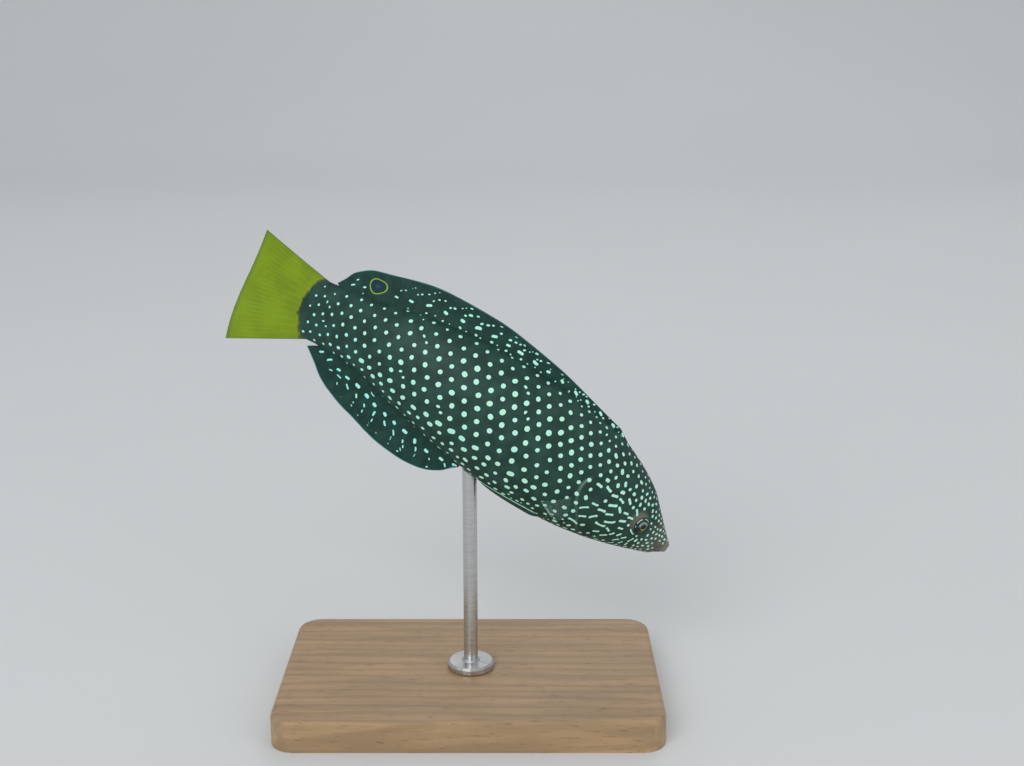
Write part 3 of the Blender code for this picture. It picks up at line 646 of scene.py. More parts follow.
def mesh_piece(name, points, faces, shares, fields, finish, nodes):
    """A piece of the fish from points in its frame: it rides on the body and stands for the nodes."""
    mesh = bpy.data.meshes.new(name)
    mesh.from_pydata(to_world(points).tolist(), [], [tuple(face) for face in faces])
    flat = mesh.uv_layers.new(name="OFBake")
    flat.uv.foreach_set("vector", np.concatenate([np.asarray(s, np.float32) for s in shares]).ravel())
    for title, values in fields.items():
        layer = mesh.attributes.new(title, "FLOAT", "POINT")
        layer.data.foreach_set("value", np.asarray(values, np.float32).ravel())
    mesh.shade_smooth()
    mesh.materials.append(finish)
    mesh.validate()
    piece = bpy.data.objects.new(name, mesh)
    bpy.context.scene.collection.objects.link(piece)
    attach(piece, "root")
    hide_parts(*nodes)
    return piece


def fin_side(middle):
    """The way out of one face of a sheet."""
    return unit(np.cross(np.gradient(middle, axis=0), np.gradient(middle, axis=1)))


def sheet_piece(name, node, middle, half, fields, finish):
    """A fin as a closed thin sheet: two faces either side of the middle, joined round the rim."""
    rows, columns = middle.shape[:2]
    offset = fin_side(middle) * half[..., None] / 1000.0
    points = np.concatenate([(middle + offset).reshape(-1, 3), (middle - offset).reshape(-1, 3)])
    index, share = grid_faces(rows, columns, False)
    count = rows * columns
    ring = list(range(0, columns)) + [r * columns + columns - 1 for r in range(1, rows)]
    ring += [(rows - 1) * columns + c for c in range(columns - 2, -1, -1)]
    ring += [r * columns for r in range(rows - 2, 0, -1)]
    rim = [(a, b, b + count, a + count) for a, b in zip(ring, ring[1:] + ring[:1])]
    faces = [tuple(f) for f in index] + [tuple(f[::-1]) for f in index + count] + rim
    near = share * SHEET_MAP_SIZE + SHEET_MAP_PLACES[0]
    far = share[:, ::-1] * SHEET_MAP_SIZE + SHEET_MAP_PLACES[1]
    edge = np.tile(np.array(RIM_MAP), (len(rim), 1))
    fields = {title: np.concatenate([np.ravel(v), np.ravel(v)]) for title, v in fields.items()}
    uv = [near.reshape(-1, 2), far.reshape(-1, 2), edge]
    return mesh_piece(name, points, faces, uv, fields, finish, (node,))


def flank_arcs():
    """Distance up the flank from its middle, in millimetres, for a grid of stations and angles."""
    stations = np.linspace(0.0, PROFILE_STATIONS[-1], ARC_GRID[0])
    angles = np.linspace(0.0, math.pi, ARC_GRID[1])
    s, a = np.meshgrid(stations, angles, indexing="ij")
    steps = np.linalg.norm(np.diff(flank(s, a), axis=1), axis=-1) * 1000.0
    run = np.concatenate([np.zeros((len(stations), 1)), np.cumsum(steps, 1)], 1)
    middle = len(angles) // 2
    return stations, angles, run[:, middle:middle + 1] - run


ARC_STATIONS, ARC_ANGLES, ARCS = flank_arcs()


def arc_row(station):
    """The arcs of all angles at the grid's station nearest to the given one."""
    share = float(np.clip(station / ARC_STATIONS[-1], 0.0, 1.0))
    return ARCS[int(round(share * (len(ARC_STATIONS) - 1)))]


def crowding(station, arc):
    """How much closer together the scales sit along the body towards the belly, behind the head."""
    low = smoothstep(*BELLY_CROWDING_MM, -arc)
    return 1.0 + BELLY_CROWDING * low * smoothstep(*BELLY_CROWDING_STATIONS, station)


def lattice_places():
    """Station and arc in millimetres of every scale on one side."""
    fine = np.linspace(0.0, LATTICE_STATIONS[-1], LATTICE_STEPS)
    midway = (fine[1:] + fine[:-1]) / 2.0
    places = []
    for row in range(-LATTICE_ROWS, LATTICE_ROWS + 1):
        steps = MM * np.diff(fine) * crowding(midway, row * CROWDED_ROW_MM) / spot_pitch(midway)
        index = np.concatenate([[0.0], np.cumsum(steps)])
        for k in range(int(index[-1]) + 2):
            station = float(np.interp(k + 0.5 * (row % 2), index, fine))
            reach = BACK_ROW_REACH_MM
            if row < 0:
                behind_head = float(smoothstep(*BELLY_CROWDING_STATIONS, station))
                reach = between((BACK_ROW_REACH_MM, BELLY_ROW_REACH_MM), behind_head)
            rise = abs(row) * float(row_pitch(station))
            arc = float(row_drift(station)) + math.copysign(reach * (1.0 - math.exp(-rise / reach)), row)
            arcs = arc_row(station)
            if station < fine[-1] - 1e-6 and arcs[-1] < arc < arcs[0]:
                places.append((station * MM, arc))
    return np.array(places)


def settle(places, spacing):
    """Pushes places apart until close neighbours are their spacing away from each other."""
    for _ in range(SETTLE_ROUNDS):
        gap = places[:, None] - places[None]
        reach = np.linalg.norm(gap, axis=-1) + 10.0 * np.eye(len(places))
        short = np.clip(np.minimum(spacing[:, None], spacing[None]) - reach, 0.0, None)
        places = places + SETTLE_SHARE * (gap / reach[..., None] * short[..., None]).sum(1)
    return places


def at_arc(at_mm, arc, side):
    """Station and angle of a place given in millimetres along the side and up the flank."""
    station = float(at_mm) / MM
    return station, side * float(np.interp(-arc, -arc_row(station), ARC_ANGLES))


def on_cheek(places):
    """True on the cheek, where spots are streaks, for places in millimetres along the side and up it."""
    (front, rear), (low, high) = CHEEK_BAND_MM
    at, arc = np.transpose(places)
    return (front < at) & (at < rear) & (low < arc) & (arc < high)


def scale_marks(look):
    """Every scale's spot, on both sides, from the lattice with the variation that real spots show."""
    draw = np.random.default_rng(SPOT_SEED)
    marks = []
    for side in (1, -1):
        eye, _, ahead, upward = eye_place(side)
        bare = eye + (upward * BARE_SHIFT_MM[1] - ahead * BARE_SHIFT_MM[0]) / 1000.0
        dash = orbit_mark(side).centre
        places = lattice_places()
        places = places[~on_cheek(places) | (draw.random(len(places)) > CHEEK_MISSING)]
        stations = places[:, 0] / MM
        pitches = spot_pitch(stations)
        head = 1.0 - smoothstep(*HEAD_STATIONS, stations)
        stray = SPOT_STRAY + HEAD_STRAY * head
        stray = stray + LOW_FLANK_STRAY * smoothstep(*LOW_FLANK_MM, -places[:, 1])
        places = places + draw.normal(size=places.shape) * (stray * pitches)[:, None]
        spacing = pitches * (LEAST_SPACING - HEAD_CLOSENESS * head) / crowding(stations, places[:, 1])
        places = settle(places, spacing * (1.0 + CHEEK_SPREAD * on_cheek(places)))
        for (at_mm, arc), pitch in zip(places, pitches):
            arcs = arc_row(at_mm / MM)
            low, high = arcs[-1] + BELLY_MARGIN_MM, arcs[0] - BACK_MARGIN_MM
            if not low < arc < high or not SPOTTED_STATIONS[0] * MM < at_mm < SPOTTED_STATIONS[1] * MM:
                continue
            station, angle = at_arc(at_mm, arc, side)
            axes = flank_axes(station, angle)
            off_eye, off_dash = (np.linalg.norm(axes[0] - centre) * 1000.0 for centre in (bare, dash))
            if off_eye < BARE_MM or off_dash < ORBIT_DASH_CLEAR_MM or near_mouth(station, angle):
                continue
            from_eye = axes[0] - eye
            marks.extend(scale_spot(station, arc, arcs, side, from_eye, float(pitch), axes, look, draw))
    return keep_apart(marks) + [orbit_mark(side) for side in (1, -1)]


def scale_spot(station, arc, arcs, side, from_eye, pitch, axes, look, draw):
    """The mark of one scale: a spot, or two, or a streak that points at the eye on the cheek."""
    _, ahead, upward, _ = axes
    to_edge = float(smoothstep(*EDGE_SHARES, arc / arcs[0] if arc > 0.0 else arc / arcs[-1]))
    radius = float(spot_radius(station)) * look.spot_size
    radius *= (1.0 - (1.0 - EDGE_SPOT_SHARE) * to_edge) * (1.0 + SPOT_SIZE_STRAY * draw.normal())
    rear_blue = REAR_BLUE * float(smoothstep(*REAR_STATIONS, station))
    tone = TONE_STRAY * draw.random() + rear_blue * (BACK_BLUE_SHARE if arc > 0.0 else 1.0)
    toward_eye = math.atan2(from_eye @ upward, from_eye @ ahead)
    chance = draw.random()
    turn = draw.uniform(-1.5, 1.5)
    long = radius * draw.uniform(0.0, SPOT_LENGTHENING)
    waist = 0.0
    bend = 0.0
    if on_cheek((station * MM, arc)) and chance < CHEEK_STREAKS.share:
        turn = toward_eye + draw.normal() * CHEEK_STREAKS.stray
        long = draw.uniform(*CHEEK_STREAKS.lengths) * min(1.0, pitch / CHEEK_PITCH_MM)
        radius *= CHEEK_STREAKS.width
        waist = draw.uniform(0.0, CHEEK_STREAKS.waist)
        bend = draw.normal() * CHEEK_STREAKS.bend
    elif station < HEAD_OVALS_STATION and chance < HEAD_OVALS.share:
        turn = toward_eye + draw.normal() * HEAD_OVALS.stray
        long = radius * draw.uniform(*HEAD_OVALS.lengths)
        waist = draw.uniform(0.0, HEAD_OVALS.waist)
        bend = draw.normal() * HEAD_OVALS.bend
    elif arc < LOW_OVALS_ARC_MM:
        turn = LOW_OVALS_LEAN + draw.normal() * LOW_OVALS.stray
        radius *= between((1.0, LOW_OVALS.width), float(smoothstep(*LOW_OVALS_NARROWING_MM, -arc)))
        long = radius * draw.uniform(*LOW_OVALS.lengths)
    (broken_from, broken_to), broken_below, unbroken = BROKEN_SPOTS
    if not (broken_from < station < broken_to and arc < broken_below):
        unbroken = UNBROKEN_ELSEWHERE
    if chance <= unbroken or station <= broken_from:
        return [make_mark(station, axes, turn, long, radius, waist, bend, tone)]
    spots = []
    for ahead_mm, up_mm, half_length, share in SPOT_HALVES:
        at, angle = at_arc(station * MM + ahead_mm, min(arc + up_mm, arcs[0] - HALF_SPOT_MARGIN_MM), side)
        axes = flank_axes(at, angle)
        spots.append(make_mark(at, axes, turn, half_length, radius * share, 0.0, 0.0, tone))
    return spots


def keep_apart(marks):
    """Shortens and shrinks marks that would run into each other, but not a large one beside a small one."""
    length = np.array([mark.half_length for mark in marks])
    radius = np.array([mark.radius for mark in marks])
    centre = np.array([mark.centre for mark in marks]) * 1000.0
    ahead = np.array([mark.ahead for mark in marks])
    apart = np.linalg.norm(centre[:, None] - centre[None], axis=-1)
    first, second = np.nonzero(np.triu(apart < 2.0 * MARK_REACH_MM, 1))
    steps = np.linspace(-1.0, 1.0, 5)
    for _ in range(KEEP_APART_ROUNDS):
        ends = centre[:, None] + ahead[:, None] * (length[:, None] * steps)[..., None]
        gaps = np.linalg.norm(ends[first][:, :, None] - ends[second][:, None], axis=-1).min((1, 2))
        tight = gaps - radius[first] - radius[second] < MARK_GAP_MM
        crowded = np.unique(np.concatenate([
            first[tight & (radius[first] < LARGER_BY * radius[second])],
            second[tight & (radius[second] < LARGER_BY * radius[first])]]))
        radius[crowded] *= np.where(length[crowded] < ROUND_MM, ROUND_SHRINKING, STREAK_SHRINKING)
        length[crowded] *= SHORTENING
    kept = [mark._replace(half_length=long, radius=wide) for mark, long, wide in zip(marks, length, radius)]
    return [mark for mark in kept if mark.radius > SMALLEST_MARK_MM]


def orbit_mark(side):
    """The long pale dash that curves behind and below the eye."""
    arc = float(np.interp(abs(angle_at(EYE_STATION, EYE_HEIGHT, side)), ARC_ANGLES, arc_row(EYE_STATION)))
    degrees, reach, half_length, radius, bend, tone = ORBIT_DASH
    turn = math.radians(degrees)
    at, angle = at_arc(EYE_STATION * MM - reach * math.cos(turn), arc + reach * math.sin(turn), side)
    return make_mark(at, flank_axes(at, angle), turn + math.pi / 2.0, half_length, radius, 0.0, bend, tone)


def near_mouth(station, angle):
    """True on the lips, which have no spots."""
    left, up = section(station, angle)
    low, high = BARE_LIPS
    return station < LIP_ENDS[1] * MOUTH_CORNER and low < up - mouth_line(left)[0] < high


def mouth_line(left):
    """Height of the mouth's line beside the midline, and how far along it that is."""
    along = np.arcsin(np.clip(abs(left) / MOUTH_HALF_WIDTH, 0.0, 1.0)) * 2.0 / math.pi
    return MOUTH_HEIGHT - MOUTH_DROP * along**2, along


def plate_edge(edge, station, length):
    """Rises towards the edge of a bony plate and drops just behind it."""
    rise = smoothstep(edge - length, edge, station)
    return rise * (1.0 - smoothstep(edge, edge + PLATE_DROP_LENGTH, station))


def skin_grid():
    """Stations and angles of the skin's grid, and how much its nose and tail ends are narrowed."""
    fine = np.linspace(math.pi, -math.pi, SKIN_STEPS[0])
    loop = flank(np.full_like(fine, MID_STATION), fine)
    run = np.concatenate([[0.0], np.cumsum(np.linalg.norm(np.diff(loop, axis=0), axis=1))])
    angles = np.interp(np.linspace(0.0, run[-1], SKIN_COLUMNS, endpoint=False), run, fine)
    cap = np.linspace(math.pi / 2.0, 0.0, NOSE_ROWS, endpoint=False) * NOSE_CAP
    stations = np.linspace(0.0, STEM_STATION, SKIN_STEPS[1])
    steps = MM * np.diff(stations) / np.interp(stations[1:], ROW_SPACING_STATIONS, ROW_SPACINGS_MM)
    count = np.concatenate([[0.0], np.cumsum(steps)])
    body = np.interp(np.arange(0.0, count[-1], 1.0), count, stations)
    stem_rows = int((1.0 + TAIL_ARC / 2.0 - STEM_STATION) * MM / ROW_SPACINGS_MM[-1])
    stem = np.linspace(0.0, 1.0, stem_rows)[:, None]
    end = stem_end(np.cos(angles))[None, :]
    tuck = np.linspace(0.0, 1.0, TAIL_ROWS + 1)[1:, None]
    slant = snout_end(angles)[None, :]
    middle = snout_end(math.pi / 2.0)
    nose = middle + (slant - middle) * np.cos(cap)[:, None] - NOSE_REACH * np.sin(cap)[:, None]
    leaning = body[:, None] + slant * (1.0 - smoothstep(0.0, SNOUT_SLANT_LENGTH, body))[:, None]
    stem = STEM_STATION + (end - STEM_STATION) * stem
    station = np.concatenate([nose, leaning, stem, end + TAIL_TUCK * tuck])
    shrink = np.ones(len(station))
    shrink[:NOSE_ROWS] = np.cos(cap)
    narrow = np.ones(len(station))
    narrow[-TAIL_ROWS:] = np.sqrt(1.0 - TAIL_TUCK_NARROWING * tuck[:, 0] ** 2)
    return station, np.broadcast_to(angles, station.shape), shrink[:, None], narrow[:, None]


def scale_relief(points, row_places, look):
    """Height of the scales in millimetres: each one rises to a round rear edge over the one behind it."""
    height = np.zeros(points.shape[:2])
    for side in (1, -1):
        for at_mm, arc in lattice_places():
            station, angle = at_arc(at_mm, arc, side)
            centre, ahead, upward, _ = flank_axes(station, angle)
            long = SCALE_SHARES[0] * float(spot_pitch(station))
            tall = SCALE_SHARES[1] * float(row_pitch(station))
            low, high = np.searchsorted(row_places, (station - SCALE_WINDOW, station + SCALE_WINDOW))
            offset = (points[low:high] - centre) * 1000.0
            x = -(offset @ ahead) / long
            z = (offset @ upward) / tall
            off_plane = (offset**2).sum(-1) - (x * long) ** 2 - (z * tall) ** 2
            reach = np.sqrt(x * x + z * z + np.maximum(off_plane, 0.0) / tall**2)
            here = (1.0 - smoothstep(SCALE_RIM, 1.0, reach)) * (0.5 + 0.5 * np.clip(x, -1.0, 1.0))
            height[low:high] = np.maximum(height[low:high], here)
    return height * look.scale_relief * 1000.0


def face_relief(station, angle, left, up, points):
    """Lips, mouth, nostrils and eye rims in millimetres, and how much shade is painted into each crease and
    pit.
    """
    line, along = mouth_line(left)
    above = up - line
    front = 1.0 - smoothstep(LIP_ENDS[0] * MOUTH_CORNER, LIP_ENDS[1] * MOUTH_CORNER, station)
    taper = 1.0 - LIP_TAPER * along
    lips = sum(lip[2] * bump(above, lip[0] * taper, lip[1] * taper) for lip in (UPPER_LIP, LOWER_LIP))
    groove = LIP_GROOVE_MM * sum(bump(above, at * taper, LIP_GROOVE_WIDTH) for at in LIP_GROOVES)
    slit = bump(above, 0.0, MOUTH_SLIT_WIDTH * (1.0 - MOUTH_SLIT_TAPER * along))
    relief = front * ((lips - groove) * taper - MOUTH_SLIT_MM * slit)
    chin = (1.0 - smoothstep(*CHIN_STATIONS, station)) * smoothstep(*CHIN_LEVELS, -np.cos(angle))
    relief -= CHIN_ROUNDING_MM * chin
    # Painted shade in the mouth's slit; the crease round each eye and the nostrils' pits add theirs below
    dark = front * slit
    for side in (1, -1):
        centre, normal, _, _ = eye_place(side)
        depth, reach = off_axis(points, centre, normal)
        same = (depth > EYE_BEHIND_MM).astype(float) * (1.0 - smoothstep(*EYE_SURROUND_MM, reach))
        past = reach - EYE_OPENING_MM
        relief -= same * EYE_SOCKET_MM * (1.0 - smoothstep(*EYE_SOCKET_EDGE_MM, past))
        relief += same * sum(height * bump(past, at, width) for at, width, height in EYE_RIMS_MM)
        # Painted shade in the crease round the eye's opening
        dark = np.maximum(dark, EYE_PAINTED_SHADE * same * (1.0 - smoothstep(*EYE_PAINTED_SHADE_MM, past)))
        for at, height in NOSTRILS:
            spot = flank(at, angle_at(at, height, side))
            reach = np.linalg.norm(points - spot, axis=-1) * 1000.0
            pit = 1.0 - smoothstep(NOSTRIL_PIT[0] * NOSTRIL_MM, NOSTRIL_PIT[1] * NOSTRIL_MM, reach)
            rim = bump(reach, NOSTRIL_RIM[0] * NOSTRIL_MM, NOSTRIL_RIM[1] * NOSTRIL_MM)
            relief += NOSTRIL_RIM_MM * rim - NOSTRIL_DEPTH_MM * pit
            # Painted shade in the nostril's pit
            dark = np.maximum(dark, pit)
    return relief, dark


def gill_rim(station, gill, level):
    """How pale the gill cover's edge is: most just above the middle of the side, and nothing further up."""
    low, full, fading, high = GILL_RIM_HEIGHTS
    paleness = between(GILL_RIM_PALENESS, smoothstep(*GILL_RIM_PALER, level))
    rim = bump((station - gill) * MM, 0.0, GILL_RIM_MM) * smoothstep(low, full, level)
    return rim * ((1.0 - smoothstep(fading, high, level)) * paleness)


def blush_zone(points, station):
    """Where the skin is pinkish brown: on the snout, and round the rear of each eye."""
    blush = 1.0 - smoothstep(*BLUSH_STATIONS, station)
    for side in (1, -1):
        centre, normal, ahead, upward = eye_place(side)
        shift = (upward * BLUSH_SHIFT_MM[1] - ahead * BLUSH_SHIFT_MM[0]) / 1000.0
        along, reach = off_axis(points - centre, shift, normal)
        blush = np.maximum(blush, (along > BLUSH_BEHIND_MM) * (1.0 - smoothstep(*BLUSH_REACH_MM, reach)))
    return blush


def build_skin(look):
    """One skin over head, torso and tail stem, with scales, gill cover, mouth and spots."""
    station, angle, shrink, narrow = skin_grid()
    left, up = section(np.maximum(station, snout_end(angle)), angle)
    left = left * shrink * narrow
    up = up * shrink
    points = place(station, left, up)
    around = np.roll(points, -1, 1) - np.roll(points, 1, 1)
    normal = unit(np.cross(around, np.gradient(points, axis=0)))
    outward = (normal * (points - place(station, 0.0, up * CORE_SHARE))).sum(-1)
    normal *= np.sign(outward.mean())

    row_places = station.mean(1)
    distance, tone = mark_field(points, row_places, scale_marks(look), SPOT_WINDOW)
    level = np.cos(angle)
    gill = gill_edge(level)
    face, dark = face_relief(station, angle, left, up, points)
    scaly = smoothstep(gill + SCALES_FROM_GILL[0], gill + SCALES_FROM_GILL[1], station)
    relief = scale_relief(points, row_places, look) * scaly * (1.0 - smoothstep(*SCALES_END, station))
    side_share = np.sin(angle) ** 2
    relief += GILL_LIFT_MM * plate_edge(gill, station, GILL_LIFT_LENGTH) * side_share
    cheek = 1.0 - smoothstep(*CHEEK_TOP, level)
    relief += CHEEK_LIFT_MM * plate_edge(cheek_edge(level), station, CHEEK_LIFT_LENGTH) * side_share * cheek
    relief += face
    points = points + normal * relief[..., None] / 1000.0

    # The skin carries painted shade for the mouth's slit, the nostrils' pits and the creases round the eyes
    fields = {"mark_distance": distance, "mark_tone": tone, "painted_crease_shade": dark,
              "from_root_mm": (station - stem_end(level)) * MM, "blush_zone": blush_zone(points, station),
              "lip": 1.0 - smoothstep(*LIP_STATIONS, station), "gill_rim": gill_rim(station, gill, level)}
    fields = {title: np.append(values, np.ravel(values)[0]) for title, values in fields.items()}
    rows, columns = station.shape
    index, share = grid_faces(rows, columns, True)
    flat = points.reshape(-1, 3)
    nose = len(flat)
    last = (rows - 1) * columns
    faces = [tuple(face) for face in index]
    faces += [(k, (k + 1) % columns, nose) for k in range(columns)]
    faces.append(tuple(range(last + columns - 1, last - 1, -1)))
    ends = [np.full((3 * columns, 2), TIP_MAP), np.full((columns, 2), 1.0 - TIP_MAP)]
    uv = [share.reshape(-1, 2) * MAP_SIZE + MAP_MARGIN] + ends
    return mesh_piece("skin", np.concatenate([flat, points[0].mean(0)[None]]), faces, uv, fields,
                      spotted_skin(look), ("head", "torso", "tail_stem"))


def median_surface(base, sweep, mid_sweep, heights, side):
    """Places of a fin along the back, or under the belly, for u along it and v from root to edge."""
    def surface(u, v):
        root = between(base, u)
        edge = root + sweep[0] * (1.0 - u) + sweep[1] * u + mid_sweep * u * (1.0 - u)
        station = root + (edge - root) * v
        out = heights(edge) * np.sign(v) * abs(v) ** MEDIAN_RISE
        if side > 0:
            return place(station, 0.0, back_height(station) + out)
        return place(station, 0.0, -belly_depth(station) - out)

    return surface


dorsal_surface = median_surface(DORSAL_BASE, DORSAL_SWEEP, DORSAL_MID_SWEEP, dorsal_height, 1)
anal_surface = median_surface(ANAL_BASE, ANAL_SWEEP, ANAL_MID_SWEEP, anal_height, -1)


def caudal_surface(u, v):
    """Places of the tail fin, for u from its lower to its upper edge and v from root to rear edge."""
    level = 2.0 * u - 1.0
    root = stem_end(level)
    root_height = np.where(level > 0.0, back_height(root), belly_depth(root)) * level
    tip = between(CAUDAL_TIP_STATIONS, u) + CAUDAL_TIP_BULGE * (1.0 - level**2)
    side = CAUDAL_WAVE * v**2 * np.sin(level * CAUDAL_WAVE_TURN)
    return place(between((root, tip), v), side, between((root_height, between(CAUDAL_TIPS, u)), v))


FinGrid = namedtuple("FinGrid", "u v out middle run ray half")


def ray_field(u, v, spacing_mm, rays, forks, width_mm, unforked):
    """How much of a ray stands at each place, from 0 on the web to 1 on a ray that forks outward."""
    across = u * (rays - 1)
    nearest = np.clip(np.round(across), 0, rays - 1)
    offset = across - nearest
    forking = nearest >= unforked
    ends = [np.zeros_like(v)]
    for start, end, spread in forks:
        apart = smoothstep(start, end, v) * spread * forking
        ends = [e + sign * apart for e in ends for sign in (-1.0, 1.0)]
    away = np.min([abs(offset - e) for e in ends], axis=0) * spacing_mm
    return bump(away, 0.0, width_mm)


def fin_grid(surface, fin):
    """A fin's grid: shares along and outward, places, length along, ray height and half its thickness."""
    along, outward = np.linspace(0.0, 1.0, fin.columns), np.linspace(fin.root, 1.0, fin.rows)
    u, v = np.meshgrid(along, outward, indexing="ij")
    middle = surface(u, v)
    run = np.linalg.norm(np.gradient(middle, axis=0), axis=-1) * 1000.0 * (fin.columns - 1)
    out = np.clip(v, 0.0, 1.0)
    ray = ray_field(u, v, run / (fin.rays - 1), fin.rays, fin.forks, fin.ray_width_mm, fin.unforked)
    half = fin.taper_mm * (1.0 - out) ** fin.taper_power + fin.edge_half_mm
    half = half + between(fin.ray_half_mm, out) * ray
    return FinGrid(u, v, out, middle, run, ray, half)


def drawn_in(middle, short_mm):
    """The places of a fin, each drawn in along its ray by some millimetres."""
    return middle - unit(np.gradient(middle, axis=1)) * (short_mm / 1000.0)[..., None]


def fin_axes(surface, u, v):
    """At a place of a fin: the point, the way along its root, the way out along a ray, and its side."""
    here = surface(u, v)
    along = unit(surface(u - SMALL_STEP, v) - surface(u + SMALL_STEP, v))
    out = unit(surface(u, v + SMALL_STEP) - surface(u, v - SMALL_STEP))
    out = unit(out - along * np.dot(out, along))
    return here, along, out, np.cross(along, out)


def ray_marks(surface, rays, table, change, seed):
    """The marks of a fin, in the same order on every ray but for a little chance."""
    draw = np.random.default_rng(seed)
    marks = []
    for ray in range(rays + 1):
        for height, forward, half_length, radius, lean in table:
            at = (ray + MARK_PLACE - forward + draw.normal() * MARK_STRAY[0]) / (rays - 1.0)
            up = height + draw.normal() * MARK_STRAY[1]
            tall = np.linalg.norm(surface(at, 1.0) - surface(at, 0.0)) * 1000.0
            missing = draw.random() < MISSING_MARKS and radius < LARGE_MARK_MM
            if missing or not MARK_ENDS[0] < at < MARK_ENDS[1] or (1.0 - up) * tall < PLAIN_EDGE_MM:
                continue
            rear = float(smoothstep(*MARK_REAR, at))
            turn = math.radians(between((lean, change.lean), rear)) + draw.normal() * MARK_TURN_STRAY
            size = MARK_SIZE - MARK_FRONT_THINNING * (1.0 - at) ** 3 - change.thinning * rear
            size *= 1.0 + MARK_SIZE_STRAY * draw.normal()
            tone = between(change.blue, at) + MARK_TONE_STRAY * draw.random()
            long = half_length * draw.uniform(*MARK_LENGTHS) * (1.0 + change.lengthening * rear)
            bend = draw.normal() * MARK_BEND_STRAY
            axes = fin_axes(surface, at, up)
            marks.append(make_mark(at, axes, turn, long, radius * size, 0.0, bend, tone))
    return marks


def ray_runs(middle):
    """Distance of each place from the innermost one of its ray, in millimetres."""
    steps = np.linalg.norm(np.diff(middle, axis=1), axis=-1) * 1000.0
    return np.concatenate([np.zeros((len(middle), 1)), np.cumsum(steps, 1)], 1)


def rim_distance(middle):
    """Distance of each place from the fin's outer edge in millimetres, along its ray."""
    run = ray_runs(middle)
    return run[:, -1:] - run


def fin_foot(middle, v):
    """Thickening in millimetres where a fin rises out of the body."""
    run = ray_runs(middle)
    root = run[np.arange(len(run)), abs(v).argmin(1)][:, None]
    return FOOT_MM * np.exp(-((np.maximum(run - root, 0.0) / FOOT_REACH_MM) ** 2))


def eye_ring(middle):
    """Distance from the middle of the dorsal fin's eye spot, as a share of that of its uneven ring."""
    here, along, outward, _ = fin_axes(dorsal_surface, *EYE_SPOT_PLACE)
    offset = (middle - here) * 1000.0
    height, lobes, start = EYE_SPOT_LOBES
    uneven = 1.0 + height * np.sin(np.arctan2(offset @ outward, offset @ along) * lobes + start)
    return np.hypot((offset @ along) / EYE_SPOT_MM[0], (offset @ outward) / EYE_SPOT_MM[1]) / uneven


def build_median_fin(name, surface, fin, ripple, marks, window, with_eye_spot, finish):
    """A dark fin along the midline, with marks, that rises out of the body on a thicker foot."""
    grid = fin_grid(surface, fin)
    half = grid.half + fin_foot(grid.middle, grid.v)
    half = half * (1.0 - MEDIAN_EDGE_THINNING * smoothstep(*MEDIAN_EDGE, grid.v))
    waves, start, height_mm = ripple
    wave = np.sin(grid.u * waves + start) * height_mm * grid.out**2
    middle = grid.middle + fin_side(grid.middle) * (wave / 1000.0)[..., None]
    distance, tone = mark_field(middle, grid.u[:, 0], keep_apart(marks), window)
    fields = {"mark_distance": distance, "mark_tone": tone, "ray": grid.ray, "out": grid.out,
              "rim_mm": rim_distance(middle)}
    if with_eye_spot:
        fields["eye_ring"] = eye_ring(middle)
    sheet_piece(name + "_skin", name, middle, half, fields, finish)


def build_median_fins(look):
    """Dorsal fin with small oblique marks and an eye spot, and anal fin with ovals and longer streaks."""
    eye = dorsal_surface(*EYE_SPOT_PLACE)
    clear_mm = EYE_SPOT_MM[0] + EYE_SPOT_CLEAR_MM
    marks = ray_marks(dorsal_surface, DORSAL_RAYS, DORSAL_MARKS, DORSAL_REAR, SPOT_SEED + 1)
    marks = [mark for mark in marks if np.linalg.norm(mark.centre - eye) * 1000.0 > clear_mm]
    build_median_fin("dorsal_fin", dorsal_surface, DORSAL_FIN, DORSAL_RIPPLE, marks, DORSAL_WINDOW, True,
                     dark_fin(look, "dorsal_membrane", True, DORSAL_EDGE_STRENGTH))
    marks = ray_marks(anal_surface, ANAL_RAYS, ANAL_MARKS, ANAL_REAR, SPOT_SEED + 2)
    build_median_fin("anal_fin", anal_surface, ANAL_FIN, ANAL_RIPPLE, marks, ANAL_WINDOW, False,
                     dark_fin(look, "anal_membrane", False, ANAL_EDGE_STRENGTH))


def build_tail_fin(look):
    """Tail fin with rays that fork twice, and a finely frayed rear edge."""
    grid = fin_grid(caudal_surface, CAUDAL_FIN)
    half = grid.half * (1.0 - CAUDAL_EDGE_THINNING * smoothstep(*CAUDAL_EDGE, grid.v))
    draw = np.random.default_rng(SPOT_SEED + 3)
    threads = np.linspace(0.0, 1.0, FRAY_THREADS)
    fray = np.interp(grid.u[:, 0], threads, draw.normal(size=FRAY_THREADS)) * FRAY_MM
    short_mm = (FRAY_WEB_MM * (1.0 - grid.ray) - fray[:, None]) * smoothstep(*FRAYED, grid.v)
    middle = drawn_in(grid.middle, short_mm)
    out_mm = ray_runs(middle)
    root = abs(grid.v).argmin(1)[0]
    fields = {"ray": grid.ray, "out": grid.out, "rim_mm": rim_distance(middle),
              "edge_mm": np.minimum(grid.u, 1.0 - grid.u) * grid.run,
              "from_root_mm": out_mm - out_mm[:, root:root + 1]}
    sheet_piece("tail_fin_skin", "caudal_fin", middle, half, fields, tail_membrane(look))


